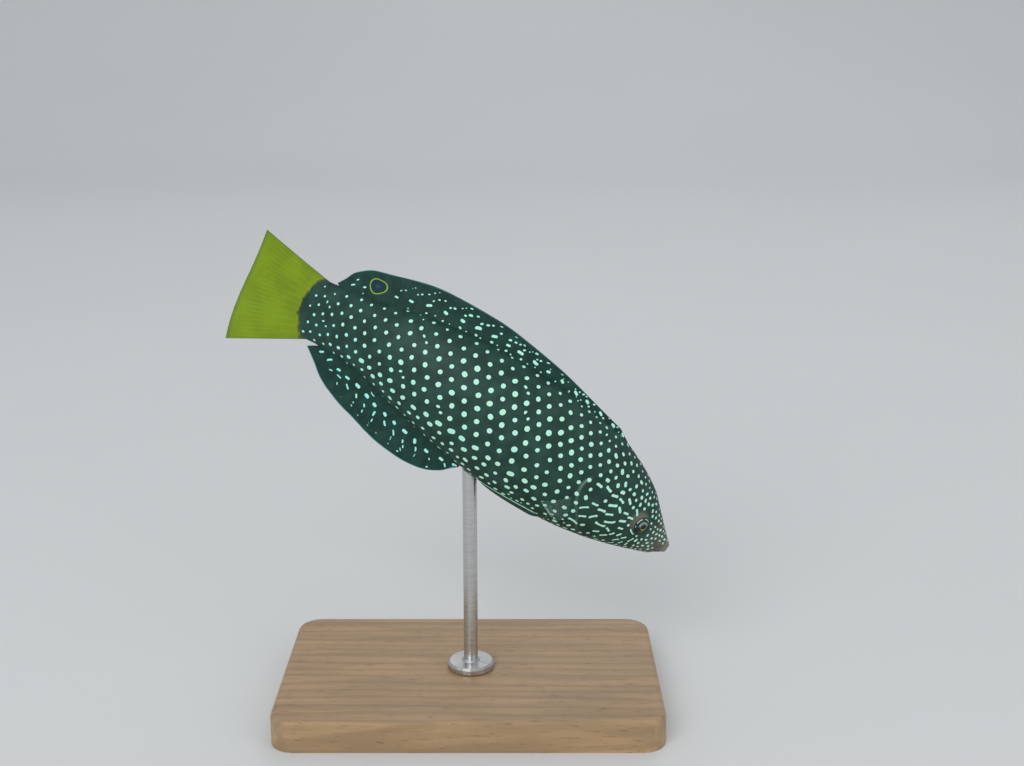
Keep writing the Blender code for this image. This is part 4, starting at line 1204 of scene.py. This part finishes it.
def pectoral_surface(side):
    """Places of one pectoral fin, held out and down at the end of its stroke."""
    (front_station, front_height), (rear_station, rear_height) = PECTORAL_BASE
    _, forward, left, up = spine_axes(front_station)

    def surface(u, v):
        u, v = np.broadcast_arrays(np.asarray(u, float), np.asarray(v, float))
        station = between((front_station, rear_station), u)
        height = between((front_height, rear_height), u)
        root = flank(station, side * np.arccos(height / belly_depth(station)))
        way = unit(between((unit(np.array(PECTORAL_FRONT)), unit(np.array(PECTORAL_REAR))), u[..., None]))
        length = between(PECTORAL_LENGTHS, u**PECTORAL_ROUNDING)
        local = way * (length * v)[..., None] + np.array(PECTORAL_BOW) * (v**2)[..., None]
        turned = local[..., :1] * forward + local[..., 1:2] * left * side + local[..., 2:] * up
        return root + turned * STANDARD_LENGTH

    return surface


def pelvic_surface(side):
    """Places of one pelvic fin, laid back along the belly."""
    def surface(u, v):
        start, end = PELVIC_STATIONS
        reach = (end - start) * between((1.0, PELVIC_REAR_SHARE), u)
        station = start + PELVIC_ROOT_WIDTH * u + reach * v
        inward = 1.0 - PELVIC_ROOT_SPREAD * v**2
        angle = between((PELVIC_TIP_ANGLE, between(PELVIC_ANGLES, u)), inward)
        clear = PELVIC_CLEARANCE + PELVIC_STAND_OFF * np.clip(v, 0.0, 1.0) ** PELVIC_STAND_OFF_POWER
        risen = smoothstep(*PELVIC_ROOT_RISE, v)
        return flank(station, side * (math.pi - angle), clear * risen - PELVIC_ROOT_DEPTH * (1.0 - risen))

    return surface


def build_paired_fins(look):
    """Clear pectoral fins with thirteen forked rays, and dark pelvic fins with a pale front edge."""
    clear = clear_membrane(look)
    dark = pelvic_membrane(look)
    for side, hand in ((1, "left"), (-1, "right")):
        grid = fin_grid(pectoral_surface(side), PECTORAL_FIN)
        middle = drawn_in(grid.middle, SCALLOP_MM * (1.0 - grid.ray) * smoothstep(*SCALLOPED, grid.v))
        fields = {"ray": grid.ray, "out": grid.out, "front_mm": grid.u * grid.run}
        name = "pectoral_fin_" + hand
        sheet_piece(name + "_skin", name, middle, grid.half, fields, clear)

        grid = fin_grid(pelvic_surface(side), PELVIC_FIN)
        half = grid.half * between((PELVIC_EDGE_SHARE, 1.0), smoothstep(*PELVIC_EDGE, grid.u))
        fields = {"ray": grid.ray, "out": grid.out, "front_mm": grid.u * grid.run}
        name = "pelvic_fin_" + hand
        sheet_piece(name + "_skin", name, grid.middle, half, fields, dark)


def build_eyes(look):
    """Eyeballs with a cornea's bulge, for the iris painted on them."""
    finish = eye_finish(look)
    rows, columns = EYE_GRID
    tilt = np.linspace(EYE_TIP_ANGLE, math.pi - EYE_TIP_ANGLE, rows)[:, None]
    turn = np.linspace(0.0, 2.0 * math.pi, columns, endpoint=False)[None, :]
    radial = np.sin(tilt) * EYE_RADIUS
    depth = np.cos(tilt) * EYE_HALF_DEPTH + CORNEA_BULGE * bump(tilt, 0.0, CORNEA_ANGLE)
    far_mm = 2.0 * EYE_RADIUS * MM
    from_axis = np.where(np.cos(tilt) > 0.0, np.broadcast_to(radial * MM, (rows, columns)), far_mm)
    fields = {"from_axis_mm": np.append(from_axis, [0.0, far_mm]),
              "to_front": np.append(np.broadcast_to(np.cos(turn), (rows, columns)), [0.0, 0.0]),
              "to_back": np.append(np.broadcast_to(np.sin(turn), (rows, columns)), [0.0, 0.0])}
    count = rows * columns
    last = count - columns
    for side, name in ((1, "eye_left"), (-1, "eye_right")):
        centre, normal, ahead, upward = eye_place(side)
        around = np.cos(turn)[..., None] * ahead + np.sin(turn)[..., None] * upward
        points = radial[..., None] * around + (depth + 0.0 * turn)[..., None] * normal
        points = centre + points * STANDARD_LENGTH
        index, share = grid_faces(rows, columns, True)
        caps = [(k, (k + 1) % columns, count) for k in range(columns)]
        caps += [(last + (k + 1) % columns, last + k, count + 1) for k in range(columns)]
        if side > 0:
            index = index[:, ::-1]
            share = share[:, ::-1]
            caps = [cap[::-1] for cap in caps]
        flat = np.concatenate([points.reshape(-1, 3), points[0].mean(0)[None], points[-1].mean(0)[None]])
        uv = [share.reshape(-1, 2) * MAP_SIZE + MAP_MARGIN, np.full((6 * columns, 2), TIP_MAP)]
        faces = [tuple(f) for f in index] + caps
        mesh_piece(name + "_ball", flat, faces, uv, fields, finish, (name,))


def rgba(colour):
    return (*colour, 1.0)


class Shader:
    """Adds nodes to a tree. Inputs are plain values or other nodes' sockets, by index or by name."""

    def __init__(self, tree):
        self.tree = tree

    def node(self, kind, inputs=None, **settings):
        made = self.tree.nodes.new(kind)
        for name, value in settings.items():
            setattr(made, name, value)
        for name, value in (inputs or {}).items():
            if isinstance(value, bpy.types.NodeSocket):
                self.tree.links.new(value, made.inputs[name])
            else:
                made.inputs[name].default_value = value
        return made

    def math(self, operation, a, b=0.0, clamp=False):
        return self.node("ShaderNodeMath", {0: a, 1: b}, operation=operation, use_clamp=clamp).outputs[0]

    def times(self, a, b):
        return self.math("MULTIPLY", a, b)

    def mix(self, share, a, b):
        return self.node("ShaderNodeMix", {0: share, 6: a, 7: b}, data_type="RGBA").outputs[2]

    def over(self, ground, share, strength, colour):
        """The colour laid over the ground at that strength, where the share is 1."""
        return self.mix(self.times(share, strength), ground, rgba(colour))

    def smooth(self, value, low, high, to_low=0.0, to_high=1.0):
        return self.node("ShaderNodeMapRange", {0: value, 1: low, 2: high, 3: to_low, 4: to_high},
                         interpolation_type="SMOOTHSTEP").outputs[0]

    def band(self, value, low, full, fading, high):
        """1 from full to fading, and 0 below low and above high."""
        return self.times(self.smooth(value, low, full), self.smooth(value, high, fading))

    def shade(self, tint, low, high, colour, dark, pale):
        """The colour, from its dark share to its pale share as the tint rises from low to high."""
        return self.mix(self.smooth(tint, low, high), rgba(colour * dark), rgba(colour * pale))

    def uneven(self, value, tint, amount):
        """The value, moved up and down by the tint."""
        return self.math("ADD", value, self.times(self.math("SUBTRACT", tint, 0.5), amount))

    def field(self, name):
        return self.node("ShaderNodeAttribute", attribute_name=name).outputs["Fac"]

    def place(self):
        return self.node("ShaderNodeTexCoord").outputs["Object"]

    def noise(self, vector, scale, detail, roughness=0.5):
        return self.node("ShaderNodeTexNoise", {"Vector": vector, "Scale": scale, "Detail": detail,
                                                "Roughness": roughness}).outputs["Fac"]

    def group(self, fill, inputs):
        return self.node("ShaderNodeGroup", inputs, node_tree=shared_group(fill)).outputs


def pale_spots(s, given):
    """Turns the distance to a mark into its colour: pale rim, greener middle and a dark line round it."""
    distance = given["Distance"]
    ground = s.over(given["Ground"], s.smooth(distance, 0.34, 0.06), 0.75, SPOT_HALO)
    inner = s.mix(s.smooth(distance, -0.24, -0.46), given["Rim"], given["Middle"])
    toned = s.mix(given["Tone"], inner, given["Blue"])
    return {"Colour": s.mix(s.smooth(distance, 0.07, -0.05), ground, toned)}


def soft_mottle(s, given):
    """Uneven tint and fine grain at two sizes, for skins, fins and the stand."""
    return {"Tint": s.noise(given["Vector"], given["Patches"], 4.0, 0.55),
            "Fine": s.noise(given["Vector"], given["Grain"], 2.0, 0.6)}


def jointed_rays(s, given):
    """A fin's rays, and their height with the short joints that cross them."""
    ray = s.smooth(given["Ray"], 0.25, 0.85)
    joints = s.math("SINE", s.times(given["Edge distance"], JOINT_FREQUENCY))
    jointed = s.times(s.smooth(joints, 0.2, 0.95), s.smooth(given["Outward"], 0.25, 0.5))
    return {"Ray": ray, "Height": s.math("SUBTRACT", ray, s.times(s.times(jointed, ray), 0.25))}


def jagged_tail_border(s, given):
    """The jagged brown border between the dark body and the yellow tail, by the distance from its root."""
    from_root = s.uneven(given["From root"], s.noise(given["Vector"], 560.0, 2.0), 4.0)
    brown = s.mix(s.smooth(from_root, 0.55, 0.95), given["Body"], given["Border"])
    return {"Colour": s.mix(s.smooth(from_root, 0.95, 1.75), brown, given["Tail"])}


GROUP_SOCKETS = {
    pale_spots: ({"Distance": "Float", "Tone": "Float", "Ground": "Color", "Rim": "Color",
                  "Middle": "Color", "Blue": "Color"}, {"Colour": "Color"}),
    soft_mottle: ({"Vector": "Vector", "Patches": "Float", "Grain": "Float"},
                  {"Tint": "Float", "Fine": "Float"}),
    jointed_rays: ({"Ray": "Float", "Edge distance": "Float", "Outward": "Float"},
                   {"Ray": "Float", "Height": "Float"}),
    jagged_tail_border: ({"Vector": "Vector", "From root": "Float", "Body": "Color", "Border": "Color",
                          "Tail": "Color"}, {"Colour": "Color"}),
}


def shared_group(fill):
    """The node group that a function fills and names, made when it is first asked for."""
    name = fill.__name__
    if name in bpy.data.node_groups:
        return bpy.data.node_groups[name]
    tree = bpy.data.node_groups.new(name, "ShaderNodeTree")
    for way, sockets in zip(("INPUT", "OUTPUT"), GROUP_SOCKETS[fill]):
        for title, kind in sockets.items():
            tree.interface.new_socket(title, in_out=way, socket_type="NodeSocket" + kind)
    given = tree.nodes.new("NodeGroupInput").outputs
    end = tree.nodes.new("NodeGroupOutput")
    for title, output in fill(Shader(tree), given).items():
        tree.links.new(output, end.inputs[title])
    return tree


class Finish(Shader):
    """A material with one Principled shader: plain sockets are set at the start, the others joined."""

    def __init__(self, name, **sockets):
        self.material = bpy.data.materials.new(name)
        self.material.use_nodes = True
        super().__init__(self.material.node_tree)
        self.shader = self.tree.nodes["Principled BSDF"]
        for title, value in sockets.items():
            self.shader.inputs[title.replace("_", " ")].default_value = value

    def joined(self, **outputs):
        """The material, with these outputs joined to its shader's sockets."""
        for title, output in outputs.items():
            self.tree.links.new(output, self.shader.inputs[title.replace("_", " ")])
        return self.material

    def mottle(self, patches, grain, vector=None):
        vector = self.place() if vector is None else vector
        mottle = self.group(soft_mottle, {"Vector": vector, "Patches": patches, "Grain": grain})
        return mottle["Tint"], mottle["Fine"]

    def rays(self, edge_distance):
        rays = self.group(jointed_rays, {"Ray": self.field("ray"), "Edge distance": edge_distance,
                                         "Outward": self.field("out")})
        return rays["Ray"], rays["Height"]

    def spots(self, look, ground):
        return self.group(pale_spots, {
            "Distance": self.field("mark_distance"), "Tone": self.field("mark_tone"), "Ground": ground,
            "Rim": rgba(look.spots), "Middle": rgba(look.spot_middles), "Blue": rgba(look.fin_spots),
        })["Colour"]

    def tail_border(self, look, body, tail):
        return self.group(jagged_tail_border, {
            "Vector": self.place(), "From root": self.field("from_root_mm"), "Body": body,
            "Border": rgba(look.tail_border), "Tail": tail,
        })["Colour"]

    def relief(self, height, strength, distance):
        inputs = {"Height": height, "Strength": strength, "Distance": distance}
        return self.node("ShaderNodeBump", inputs).outputs[0]


def spotted_skin(look):
    """Near-black scaly skin: mint spots, a pinkish brown snout, a yellow tail root and painted shade in the
    creases.
    """
    s = Finish("spotted_skin", Specular_IOR_Level=0.2, Coat_Weight=0.04, Coat_Roughness=0.3)
    tint, fine = s.mottle(260.0, 3800.0)
    ground = s.shade(tint, 0.3, 0.75, look.ground, 0.72, 1.25)
    blush = s.shade(tint, 0.35, 0.7, look.snout, 0.75, 1.15)
    ground = s.mix(s.times(s.field("blush_zone"), 0.9), ground, blush)
    ground = s.over(ground, s.field("lip"), 0.6, look.snout * 1.7)
    tail = s.shade(tint, 0.3, 0.7, look.tail, 0.72, 0.90)
    colour = s.tail_border(look, s.spots(look, ground), tail)
    colour = s.mix(s.field("gill_rim"), colour, rgba(look.clear_web))
    # Painted shade darkens the mouth's slit, the nostrils' pits and the creases round the eyes
    colour = s.over(colour, s.field("painted_crease_shade"), 0.85, PAINTED_SHADE_COLOUR)
    return s.joined(Base_Color=colour, Roughness=s.smooth(fine, 0.2, 0.8, 0.44, 0.60),
                    Normal=s.relief(fine, 0.25, 0.00006))


def dark_fin(look, name, with_eye_spot, edge_strength):
    """Near-black membrane with pale blue marks, a pale thin edge and, on the back, an eye spot."""
    s = Finish(name, Specular_IOR_Level=0.12, Coat_Weight=0.02, Coat_Roughness=0.3)
    tint, fine = s.mottle(300.0, 3500.0)
    ray, height = s.rays(s.field("rim_mm"))
    ground = s.shade(tint, 0.3, 0.75, look.fin_web, 0.7, 1.2)
    colour = s.spots(look, s.over(ground, ray, 0.25, look.fin_web * 1.4))
    if with_eye_spot:
        ring = s.field("eye_ring")
        colour = s.mix(s.smooth(ring, 0.97, 0.88), colour, rgba(look.eye_spot))
        colour = s.mix(s.smooth(ring, 0.45, 0.1), colour, rgba(look.eye_spot * 1.8))
        colour = s.mix(s.band(ring, 0.86, 0.92, 0.99, 1.05), colour, rgba(look.eye_spot_ring))
    rim = s.smooth(s.math("ADD", s.field("rim_mm"), s.times(tint, 0.40)), 0.46, 0.30)
    colour = s.over(colour, rim, edge_strength, look.fin_edge)
    height = s.math("ADD", height, s.times(fine, 0.35))
    return s.joined(Base_Color=colour, Roughness=s.smooth(fine, 0.2, 0.8, 0.46, 0.62),
                    Normal=s.relief(height, 0.2, 0.00004))


def tail_membrane(look):
    """Chartreuse membrane with fine paler rays, a brown root and an olive rear edge."""
    s = Finish("tail_membrane", Specular_IOR_Level=0.25, Coat_Weight=0.04, Coat_Roughness=0.3)
    tint, fine = s.mottle(170.0, 3500.0)
    _, height = s.rays(s.field("rim_mm"))
    colour = s.over(s.shade(tint, 0.3, 0.7, look.tail, 0.70, 0.88), height, 0.32, look.tail * 1.06)
    rear = s.smooth(s.uneven(s.field("rim_mm"), tint, 0.10), 1.5, 0.1)
    colour = s.over(colour, rear, 0.62, look.tail_rim)
    colour = s.over(colour, s.smooth(s.field("edge_mm"), 0.7, 0.1), 0.45, look.tail_rim)
    return s.joined(Base_Color=s.tail_border(look, rgba(look.ground), colour),
                    Roughness=s.smooth(fine, 0.2, 0.8, 0.38, 0.55), Normal=s.relief(height, 0.3, 0.00005))


def clear_membrane(look):
    """Nearly clear membrane with faint grey rays, a pale front edge and painted reflections: pale blotches
    further out.
    """
    s = Finish("clear_membrane", Roughness=0.4, Specular_IOR_Level=0.15)
    out = s.field("out")
    ray, _ = s.rays(s.times(out, 14.0))
    tint, _ = s.mottle(700.0, 2500.0)
    # Painted reflections: pale blotches on the outer part of the fin
    painted_reflection = s.times(s.smooth(tint, 0.55, 0.68), s.smooth(out, 0.35, 0.8))
    front = s.smooth(s.field("front_mm"), 0.22, 0.05, 0.0, 0.6)
    tips = s.times(s.times(ray, s.smooth(tint, 0.42, 0.60)), s.smooth(out, 0.86, 0.97, 0.0, 2.4))
    # The pale share joins the painted reflections with the pale front edge and the ray tips
    pale = s.math("MAXIMUM", s.math("MAXIMUM", painted_reflection, front), tips)
    root = s.smooth(out, 0.12, 0.0, 0.0, 0.12)
    solid = s.math("ADD", s.times(ray, 0.055), s.math("ADD", root, 0.022), clamp=True)
    return s.joined(Base_Color=s.mix(pale, rgba(look.clear_web), rgba(look.spots)),
                    Alpha=s.math("MAXIMUM", solid, s.times(pale, 0.16)))


def pelvic_membrane(look):
    """Near-black membrane with a pale blue front edge."""
    s = Finish("pelvic_membrane", Specular_IOR_Level=0.2, Coat_Weight=0.03, Coat_Roughness=0.3)
    tint, fine = s.mottle(300.0, 3500.0)
    out = s.field("out")
    ray, height = s.rays(s.times(out, 16.0))
    ground = s.shade(tint, 0.3, 0.75, look.fin_web, 0.7, 1.2)
    ground = s.over(ground, ray, 0.4, look.fin_web * 2.2)
    front = s.times(s.smooth(s.field("front_mm"), 0.13, 0.05), s.smooth(out, 0.02, 0.12))
    return s.joined(Base_Color=s.over(ground, front, 0.75, look.spots),
                    Roughness=s.smooth(fine, 0.2, 0.8, 0.36, 0.52), Normal=s.relief(height, 0.5, 0.00008))


def eye_finish(look):
    """Wet dark eye: black pupil, a broken yellow ring, and pale arcs over and behind it."""
    s = Finish("wet_eye", Roughness=0.3, Specular_IOR_Level=0.1, Coat_Weight=0.35, Coat_Roughness=0.08)
    tint, _ = s.mottle(900.0, 4000.0)
    reach = s.uneven(s.field("from_axis_mm"), tint, 0.10)
    front = s.field("to_front")
    back = s.field("to_back")
    toward = s.math("ADD", s.times(front, -0.64), s.times(back, 0.77))
    dashes = s.smooth(s.math("SINE", s.times(s.math("ARCTAN2", back, front), 5.0)), -0.75, -0.45)
    outer = s.times(s.times(s.band(reach, 1.90, 1.96, 2.09, 2.15), s.smooth(toward, -0.15, 0.20)), dashes)
    colour = s.over(rgba(look.iris), outer, 0.9, look.eye_arcs)
    finer = s.times(s.band(reach, 1.24, 1.28, 1.35, 1.40), 0.7)
    arcs = s.math("MAXIMUM", s.band(reach, 0.98, 1.03, 1.11, 1.16), finer)
    colour = s.over(colour, s.times(arcs, s.smooth(toward, 0.0, 0.35)), 0.9, look.eye_arcs)
    gold = s.times(s.band(reach, 0.62, 0.68, 0.80, 0.90), s.smooth(toward, -0.35, -0.75, 0.10, 1.0))
    colour = s.mix(gold, colour, rgba(look.eye_gold))
    return s.joined(Base_Color=s.mix(s.smooth(reach, 0.66, 0.60), colour, rgba(PUPIL_COLOUR)))


def oak_finish(look):
    """Oiled oak: long grain, pores and darker growth lines that run along the base."""
    s = Finish("oiled_oak", Coat_Weight=0.18, Coat_Roughness=0.25)
    along = s.node("ShaderNodeMapping", {"Vector": s.place(), "Scale": (1.0, 9.0, 9.0)}).outputs[0]
    tint, fine = s.mottle(28.0, 260.0, along)
    rings = s.node("ShaderNodeTexWave", {"Vector": along, "Scale": 9.0, "Distortion": 7.0, "Detail": 3.0,
                                         "Detail Scale": 1.4}, bands_direction="Y").outputs["Fac"]
    colour = s.shade(tint, 0.25, 0.8, look.oak, 0.78, 1.12)
    colour = s.over(colour, s.smooth(rings, 0.55, 1.0), 0.4, look.oak * 0.55)
    pores = s.smooth(fine, 0.60, 0.70)
    roughness = s.math("ADD", s.smooth(tint, 0.2, 0.8, 0.38, 0.5), s.times(pores, 0.15))
    return s.joined(Base_Color=s.over(colour, pores, 0.55, look.oak * 0.35), Roughness=roughness,
                    Normal=s.relief(s.math("SUBTRACT", 1.0, pores), 0.3, 0.00015))


def steel_finish(look):
    """Brushed steel: fine marks round the rod."""
    s = Finish("brushed_steel", Metallic=1.0)
    round_rod = s.node("ShaderNodeMapping", {"Vector": s.place(), "Scale": (1.0, 1.0, 26.0)}).outputs[0]
    tint, fine = s.mottle(90.0, 420.0, round_rod)
    return s.joined(Base_Color=s.shade(tint, 0.3, 0.8, look.steel, 0.85, 1.08),
                    Roughness=s.smooth(fine, 0.25, 0.75, 0.24, 0.42), Normal=s.relief(fine, 0.25, 0.00003))


def finish_stand(look):
    """Gives the base and the rod of the stand their wood and steel."""
    for name, finish in (("stand_base", oak_finish(look)), ("stand_rod", steel_finish(look))):
        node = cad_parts[name]
        node.data.materials.clear()
        node.data.materials.append(finish)


def build_stage(stage):
    """Pale floor that sweeps up behind, soft lights and the camera of the photo's view."""
    scene = bpy.context.scene
    turn = np.linspace(0.0, math.pi / 2.0, 25)
    profile = [(FLOOR_FRONT, 0.0)]
    profile += [(FLOOR_REAR + FLOOR_BEND * math.sin(t), FLOOR_BEND * (1.0 - math.cos(t))) for t in turn]
    profile.append((FLOOR_REAR + FLOOR_BEND, FLOOR_TOP))
    points = [(x, y, z) for y, z in profile for x in (-FLOOR_HALF_WIDTH, FLOOR_HALF_WIDTH)]
    faces = [(2 * k, 2 * k + 1, 2 * k + 3, 2 * k + 2) for k in range(len(profile) - 1)]
    mesh = bpy.data.meshes.new("floor_sweep")
    mesh.from_pydata(points, [], faces)
    mesh.shade_smooth()
    s = Finish("pale_floor", Roughness=0.75)
    tint, _ = s.mottle(3.0, 900.0)
    mesh.materials.append(s.joined(Base_Color=s.shade(tint, 0.2, 0.8, stage.floor, 0.97, 1.0)))
    floor = bpy.data.objects.new("floor_sweep", mesh)
    scene.collection.objects.link(floor)

    middle = POSE.translation
    for name, offset, size, share in STAGE_LIGHTS:
        light = bpy.data.lights.new(name, "AREA")
        light.size = size
        light.energy = stage.key_power * share
        lamp = bpy.data.objects.new(name, light)
        lamp.location = middle + Vector(offset)
        lamp.rotation_euler = (-Vector(offset)).to_track_quat("-Z", "Y").to_euler()
        scene.collection.objects.link(lamp)
    world = bpy.data.worlds.new("soft_studio")
    world.use_nodes = True
    sky = world.node_tree.nodes["Background"].inputs
    sky["Color"].default_value = rgba(SKY_COLOUR)
    sky["Strength"].default_value = stage.sky_strength
    scene.world = world
    scene.view_settings.view_transform = "Standard"

    camera = bpy.data.cameras.new("photo_view")
    camera.lens = CAMERA_LENS_MM
    camera.clip_start, camera.clip_end = CAMERA_CLIP
    viewer = bpy.data.objects.new("photo_view", camera)
    viewer.location = middle + CAMERA_FROM_FISH
    viewer.rotation_euler = (CAMERA_TILT, 0.0, 0.0)
    scene.collection.objects.link(viewer)
    scene.camera = viewer


def colour_property(name, description, default):
    return FloatVectorProperty(
        name=name, description=description, default=default, size=3, min=0.0, max=1.0, subtype="COLOR")


class WrasseLook(PropertyGroup):
    """Colours and small sizes of the fish and its stand."""

    spot_size: FloatProperty(
        name="Spot size", description="Size of the body's spots against those of the photo",
        default=1.0, min=0.3, max=1.6)
    scale_relief: FloatProperty(
        name="Scale relief", description="How far each scale's rear edge stands up",
        default=0.00005, min=0.0, max=0.0003, unit="LENGTH", precision=5)
    ground: colour_property("Skin", "Near-black ground of the body", (0.017, 0.056, 0.044))
    spots: colour_property("Spots", "Rim of the body's spots", (0.54, 0.92, 0.71))
    spot_middles: colour_property("Spot middles", "Middle of the body's larger spots", (0.48, 0.86, 0.65))
    snout: colour_property(
        "Snout", "Pinkish brown skin of the snout and behind the eyes", (0.150, 0.138, 0.112))
    fin_web: colour_property(
        "Dark fins", "Membrane of the dorsal, anal and pelvic fins", (0.014, 0.050, 0.040))
    fin_spots: colour_property("Fin marks", "Pale blue marks on the fins", (0.33, 0.90, 0.86))
    fin_edge: colour_property("Fin edges", "Pale blue edge of the dark fins", (0.14, 0.44, 0.52))
    eye_spot: colour_property(
        "Eye spot", "Dark blue middle of the dorsal fin's eye spot", (0.012, 0.036, 0.052))
    eye_spot_ring: colour_property("Eye spot ring", "Ring of the eye spot", (0.26, 0.42, 0.05))
    tail: colour_property("Tail", "Yellow of the tail fin", (0.225, 0.345, 0.005))
    tail_border: colour_property(
        "Tail border", "Brown between the dark body and the tail", (0.085, 0.085, 0.018))
    tail_rim: colour_property("Tail rim", "Olive rear edge of the tail fin", (0.11, 0.17, 0.03))
    clear_web: colour_property("Clear fins", "Membrane of the pectoral fins", (0.40, 0.52, 0.47))
    iris: colour_property("Iris", "Dark ground of the eye", (0.010, 0.030, 0.025))
    eye_arcs: colour_property("Eye arcs", "Pale arcs on the iris", (0.50, 0.70, 0.62))
    eye_gold: colour_property("Eye gold", "Broken ring round the pupil", (0.60, 0.60, 0.10))
    oak: colour_property("Oak", "Wood of the stand's base", (0.42, 0.27, 0.14))
    steel: colour_property("Steel", "Metal of the stand's rod", (0.60, 0.60, 0.60))


class WrasseStage(PropertyGroup):
    """Floor and lights."""

    floor: colour_property("Floor", "Pale floor and backdrop", (0.71, 0.72, 0.72))
    key_power: FloatProperty(
        name="Key light", description="Power of the main soft light", default=13.5, min=0.0, unit="POWER")
    sky_strength: FloatProperty(
        name="Surrounding light", description="Brightness of the even light all round",
        default=0.50, min=0.0)


class WRASSE_OT_skin(Operator):
    """Build the spotted skin over the head, torso and tail stem"""

    bl_idname = "wrasse.skin"
    bl_label = "Skin"

    def execute(self, context):
        build_skin(context.scene.wrasse_look)
        return {"FINISHED"}


class WRASSE_OT_eyes(Operator):
    """Build both eyes"""

    bl_idname = "wrasse.eyes"
    bl_label = "Eyes"

    def execute(self, context):
        build_eyes(context.scene.wrasse_look)
        return {"FINISHED"}


class WRASSE_OT_median_fins(Operator):
    """Build the dorsal and anal fins"""

    bl_idname = "wrasse.median_fins"
    bl_label = "Dorsal and anal fins"

    def execute(self, context):
        build_median_fins(context.scene.wrasse_look)
        return {"FINISHED"}


class WRASSE_OT_tail_fin(Operator):
    """Build the tail fin"""

    bl_idname = "wrasse.tail_fin"
    bl_label = "Tail fin"

    def execute(self, context):
        build_tail_fin(context.scene.wrasse_look)
        return {"FINISHED"}


class WRASSE_OT_paired_fins(Operator):
    """Build the pectoral and pelvic fins"""

    bl_idname = "wrasse.paired_fins"
    bl_label = "Pectoral and pelvic fins"

    def execute(self, context):
        build_paired_fins(context.scene.wrasse_look)
        return {"FINISHED"}


class WRASSE_OT_stand(Operator):
    """Finish the stand's base and rod"""

    bl_idname = "wrasse.stand"
    bl_label = "Stand"

    def execute(self, context):
        finish_stand(context.scene.wrasse_look)
        return {"FINISHED"}


class WRASSE_OT_stage(Operator):
    """Build the floor, the lights and the camera"""

    bl_idname = "wrasse.stage"
    bl_label = "Floor, lights and camera"

    def execute(self, context):
        build_stage(context.scene.wrasse_stage)
        return {"FINISHED"}


STEPS = (WRASSE_OT_skin, WRASSE_OT_eyes, WRASSE_OT_median_fins, WRASSE_OT_tail_fin, WRASSE_OT_paired_fins,
         WRASSE_OT_stand, WRASSE_OT_stage)


class WRASSE_PT_panel(Panel):
    """Lists the steps of the model with its colours and sizes"""

    bl_idname = "WRASSE_PT_panel"
    bl_label = "Yellowtail Wrasse"
    bl_space_type = "VIEW_3D"
    bl_region_type = "UI"
    bl_category = "Wrasse"

    def draw(self, context):
        for step in STEPS:
            self.layout.operator(step.bl_idname)
        for group in (context.scene.wrasse_look, context.scene.wrasse_stage):
            box = self.layout.box()
            for name in group.bl_rna.properties.keys():
                if name not in ("rna_type", "name"):
                    box.prop(group, name)


CLASSES = (WrasseLook, WrasseStage, *STEPS, WRASSE_PT_panel)


def register():
    for each in CLASSES:
        bpy.utils.register_class(each)
    bpy.types.Scene.wrasse_look = PointerProperty(type=WrasseLook)
    bpy.types.Scene.wrasse_stage = PointerProperty(type=WrasseStage)


def unregister():
    del bpy.types.Scene.wrasse_stage
    del bpy.types.Scene.wrasse_look
    for each in reversed(CLASSES):
        bpy.utils.unregister_class(each)


def main():
    register()
    bpy.ops.wrasse.skin()
    bpy.ops.wrasse.eyes()
    bpy.ops.wrasse.median_fins()
    bpy.ops.wrasse.tail_fin()
    bpy.ops.wrasse.paired_fins()
    bpy.ops.wrasse.stand()
    bpy.ops.wrasse.stage()


if __name__ == "__main__":
    main()
